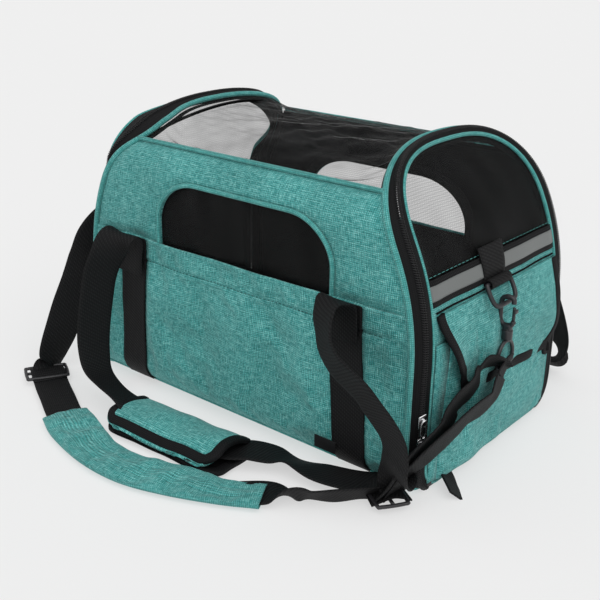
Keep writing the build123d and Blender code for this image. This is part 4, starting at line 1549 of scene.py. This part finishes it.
hand_loop("front_hand_loop", FRONT_LOOP, "front_handle")
BACK_LOOP = [
    (148, 150.5, 140, 1, 0, 0), (148, 151, 160, 1, 0, 0), (148, 153, 178, 1, 0, 0),
    (150, 160, 187, 0.95, 0.2, 0), (158, 172, 176, 0.9, -0.3, 0.1), (174, 184, 140, 0.8, -0.5, 0.2),
    (192, 192, 95, 0.8, -0.5, 0.3), (206, 194, 52, 0.7, -0.5, 0.5), (204, 196, 26, 0.3, -0.6, 0.75),
    (180, 202, 15, 0, -0.75, 0.6), (130, 205, 12, 0, -0.95, 0.3), (60, 204, 10, 0, -1, 0.2),
    (0, 206, 10, 0, -1, 0.1), (-60, 204, 10, 0, -1, 0.2), (-130, 204, 12, 0, -0.95, 0.3),
    (-176, 202, 15, 0, -0.75, 0.6), (-200, 196, 26, -0.3, -0.6, 0.75), (-202, 194, 52, -0.7, -0.5, 0.5),
    (-190, 191, 95, -0.8, -0.5, 0.3), (-173, 184, 140, -0.8, -0.5, 0.2),
    (-158, 172, 176, -0.9, -0.3, 0.1), (-150, 160, 187, -0.95, 0.2, 0), (-148, 153, 178, -1, 0, 0),
    (-148, 151, 160, -1, 0, 0), (-148, 150.5, 140, -1, 0, 0),
]
hand_loop("back_hand_loop", BACK_LOOP, "back_handle")

# padded wrap: one leaf under the loop, one folded over it, both bound in black
WRAP_CENTRE = (-19.0, -209.0)
WRAP_TURN = math.radians(2)
WRAP_HALF_LONG = 0.076
WRAP_HALF_WIDE = 0.029


def wrap_leaf(base, rise, seed, open_end=0.0):
    """Surface of one leaf over its flat coordinates along and across the loop, the fold at +across.

    base is the height of its rim, rise that of its middle, and open_end lifts its far end open.
    """

    def surface(along, across):
        u = along / WRAP_HALF_LONG
        v = across / WRAP_HALF_WIDE
        z = base + rise * np.clip(1 - np.abs(v) ** 2.4, 0, 1) * (1 - 0.25 * u**2)
        z = z + 0.9 * MM * ripples(np.stack([along, across], -1), 0.045, seed)
        sag = 5.0 * open_end / 4
        z = z - sag * smoothstep(-0.6, -1.0, v) * smoothstep(1.0, 0.75, u)
        z = z + open_end * smoothstep(0.25, 1.0, u) * smoothstep(1.0, 0.1, np.abs(v - 0.1))
        cosine, sine = math.cos(WRAP_TURN), math.sin(WRAP_TURN)
        x = WRAP_CENTRE[0] * MM + along * cosine - across * sine
        y = WRAP_CENTRE[1] * MM + along * sine + across * cosine
        return np.stack([x, y, z], -1)

    return surface


def wrap_outline(reach=0.0):
    """Bound edge of a leaf: both ends and the near side, with rounded corners, the fold left free."""
    long, wide, corner = WRAP_HALF_LONG, WRAP_HALF_WIDE, 0.014
    line = [(-long, wide - 0.001)]
    line += rounded_corner((-long + corner, -wide + corner), corner, 180, 270)
    line += rounded_corner((long + reach - corner, -wide + corner), corner, 270, 360)
    line += [(long + reach, wide - 0.001)]
    return resample(np.array(line), 200)


def leaf_grid(outline, count=44):
    """Flat coordinates filling a leaf from its bound edge up to its fold."""
    half = len(outline) // 2
    left = resample(outline[: half + 1], count)
    right = resample(outline[half:][::-1], count)
    across = np.linspace(0, 1, 80)[None, :, None]
    return left[:, None] * (1 - across) + right[:, None] * across


LOWER_LEAF = wrap_leaf(4.8 * MM, -0.8 * MM, 111)
UPPER_LEAF = wrap_leaf(15.5 * MM, 8.0 * MM, 112, 4.0 * MM)
WRAP_INSIDE = (WRAP_CENTRE[0] * MM, WRAP_CENTRE[1] * MM, 0.010)


def bound_leaf(name, body, surface, node, thick, cloth, reach=0.0):
    """One leaf of the wrap with its binding."""
    outline = wrap_outline(reach)
    flat = leaf_grid(outline)
    points = surface(flat[..., 0], flat[..., 1])
    leaf = sheet(f"{name}_cloth", points, flat, cloth, inside=WRAP_INSIDE)
    mark(thicken(leaf, thick, 0), body, "shell_fabric", node)
    mark(bind_edge(f"{name}_binding", outline, surface, thick + 2 * MM), body, "piping")


def wrap_fold():
    """Rounded fold that joins the two leaves."""
    along = np.linspace(-0.97, 0.97, 70) * WRAP_HALF_LONG
    across = np.full(70, WRAP_HALF_WIDE - 0.001)
    low_edge = LOWER_LEAF(along, across)
    high_edge = UPPER_LEAF(along, across)
    rows = []
    for turn in np.linspace(0, math.pi, 12):
        mix = (1 - math.cos(turn)) / 2
        bow = np.array([0, 4.5 * MM * math.sin(turn), 0])
        rows.append(low_edge * (1 - mix) + high_edge * mix + bow)
    rows = np.array(rows)
    fold = sheet("wrap_fold_cloth", rows, rows[..., [0, 2]], TEAL, inside=WRAP_INSIDE)
    mark(thicken(fold, 2.5 * MM, 0), "front_handle", "shell_fabric")


bound_leaf("wrap_under", "front_handle", LOWER_LEAF, "wrap_base", 4.0 * MM, LINING, reach=0.006)
bound_leaf("wrap_over", "wrap_flap", UPPER_LEAF, "wrap_flap", 4.5 * MM, TEAL)
wrap_fold()


# ---------------------------------------------------------------- zip sliders
def make_slider(name, side, across, level):
    """Slider body and bridge on the coil at one height of the upright part of the zip."""
    arc = SHELL.find(level * MM, across)
    s = np.array([arc - 0.001, arc, arc + 0.001])
    centre = gusset_point(side, s, 0.5)[1]
    way = unit(gusset_point(side, s, 1.0)[1] - gusset_point(side, s, 0.0)[1])
    normal = unit(np.cross(way, (0, 0, 1)))
    normal = normal * np.sign(normal[0] * side)
    turn = Matrix((way, normal, (0, 0, 1))).transposed()
    centre = centre + normal * 1.6 * MM
    plate = rounded_box("plate", (8.5 * MM, 2.2 * MM, 13 * MM), centre, STEEL, 0.9 * MM, turn=turn)
    top = centre + normal * 1.8 * MM
    bridge = rounded_box("bridge", (3.0 * MM, 2.8 * MM, 7 * MM), top, STEEL, 1.0 * MM, turn=turn)
    return join(name, [plate, bridge]), centre + normal * 3.4 * MM, turn


def make_pull(name, top, turn):
    """Wire loop of a pull tab, hanging from its slider."""
    loop = [(-2.4, 1), (0, 2.2), (2.4, 1), (2.7, -3.5), (2.4, -14), (0, -15.6), (-2.4, -14), (-2.7, -3.5)]
    path = np.array([np.array(turn @ Vector((x, 0, z))) * MM + top for x, z in loop])
    return tube(name, spline(path, 70, True), 1.0 * MM, STEEL, closed=True, sides=10)


# name, end, side of the zip and height in millimetres
SLIDERS = (("right_upper", 1, FRONT, 78), ("right_lower", 1, FRONT, 54), ("left", -1, BACK, 70))
for name, side, across, level in SLIDERS:
    slider, top, turn = make_slider(f"{name}_slider_body", side, across, level)
    mark(slider, f"{name}_slider", "zip_metal", f"{name}_slider")
    mark(make_pull(f"{name}_pull_tab", top, turn), f"{name}_pull", "zip_metal", f"{name}_pull")

# ---------------------------------------------------------------- stage, light and camera
FLOOR_HALF = 60
FLOOR_LEVEL = -0.0006
FLOOR_GREY = (0.34, 0.34, 0.34)
FLOOR_GLOW = 0.55
SKY_LIGHT = 0.47
SKY_SEEN = 0.40
LENS = 58.2
SENSOR = 36
CAMERA_AIM = (-0.028, 0, 0.0939)
CAMERA_ROLL = math.radians(1.02)


def studio_floor():
    """Grey floor that glows, so that it meets the sky without a line."""
    floor = plain("studio_floor", FLOOR_GREY, 0.9, 0.0)
    glow = floor.node_tree.nodes["Principled BSDF"].inputs
    glow["Emission Color"].default_value = (1, 1, 1, 1)
    glow["Emission Strength"].default_value = FLOOR_GLOW
    turns = ((-1, -1), (1, -1), (1, 1), (-1, 1))
    corners = [(x * FLOOR_HALF, y * FLOOR_HALF, FLOOR_LEVEL) for x, y in turns]
    add_mesh("studio_ground", corners, [(0, 1, 2, 3)], [(0, 0)] * 4, floor)


def studio_sky():
    """White surroundings, brighter where the camera sees them than as a light."""
    world = bpy.data.worlds.new("studio")
    bpy.context.scene.world = world
    world.use_nodes = True
    sky = world.node_tree
    sky.nodes["Background"].inputs[0].default_value = (1, 1, 1, 1)
    seen = sky.nodes.new("ShaderNodeLightPath")
    bright = sky.nodes.new("ShaderNodeMath")
    bright.operation = "MULTIPLY_ADD"
    bright.inputs[1].default_value = SKY_SEEN
    bright.inputs[2].default_value = SKY_LIGHT
    sky.links.new(seen.outputs["Is Camera Ray"], bright.inputs[0])
    sky.links.new(bright.outputs[0], sky.nodes["Background"].inputs[1])


def lamp(name, towards, strength, degrees):
    """Sun shining from the direction given; the wider it looks, in degrees, the softer its shadows."""
    light = bpy.data.lights.new(name, "SUN")
    light.angle = math.radians(degrees)
    light.energy = strength
    holder = bpy.data.objects.new(name, light)
    holder.rotation_euler = Vector(towards).to_track_quat("Z", "Y").to_euler()
    bpy.context.scene.collection.objects.link(holder)


def viewpoint():
    """Camera with the aim, roll and lens of the view that shows the front and the pocket."""
    camera = bpy.data.cameras.new("camera")
    camera.sensor_width = SENSOR
    camera.lens = LENS
    viewer = bpy.data.objects.new("camera", camera)
    viewer.location = CAMERA
    look = Vector(CAMERA_AIM) - viewer.location
    roll = Matrix.Rotation(CAMERA_ROLL, 3, "Z").to_quaternion()
    viewer.rotation_euler = (look.to_track_quat("-Z", "Y") @ roll).to_euler()
    bpy.context.scene.collection.objects.link(viewer)
    bpy.context.scene.camera = viewer


studio_floor()
studio_sky()
lamp("key", (0.50, -0.30, 0.80), 1.55, 70)
lamp("fill", (-0.55, -0.60, 0.60), 0.30, 90)
viewpoint()
bpy.context.scene.view_settings.view_transform = "Standard"
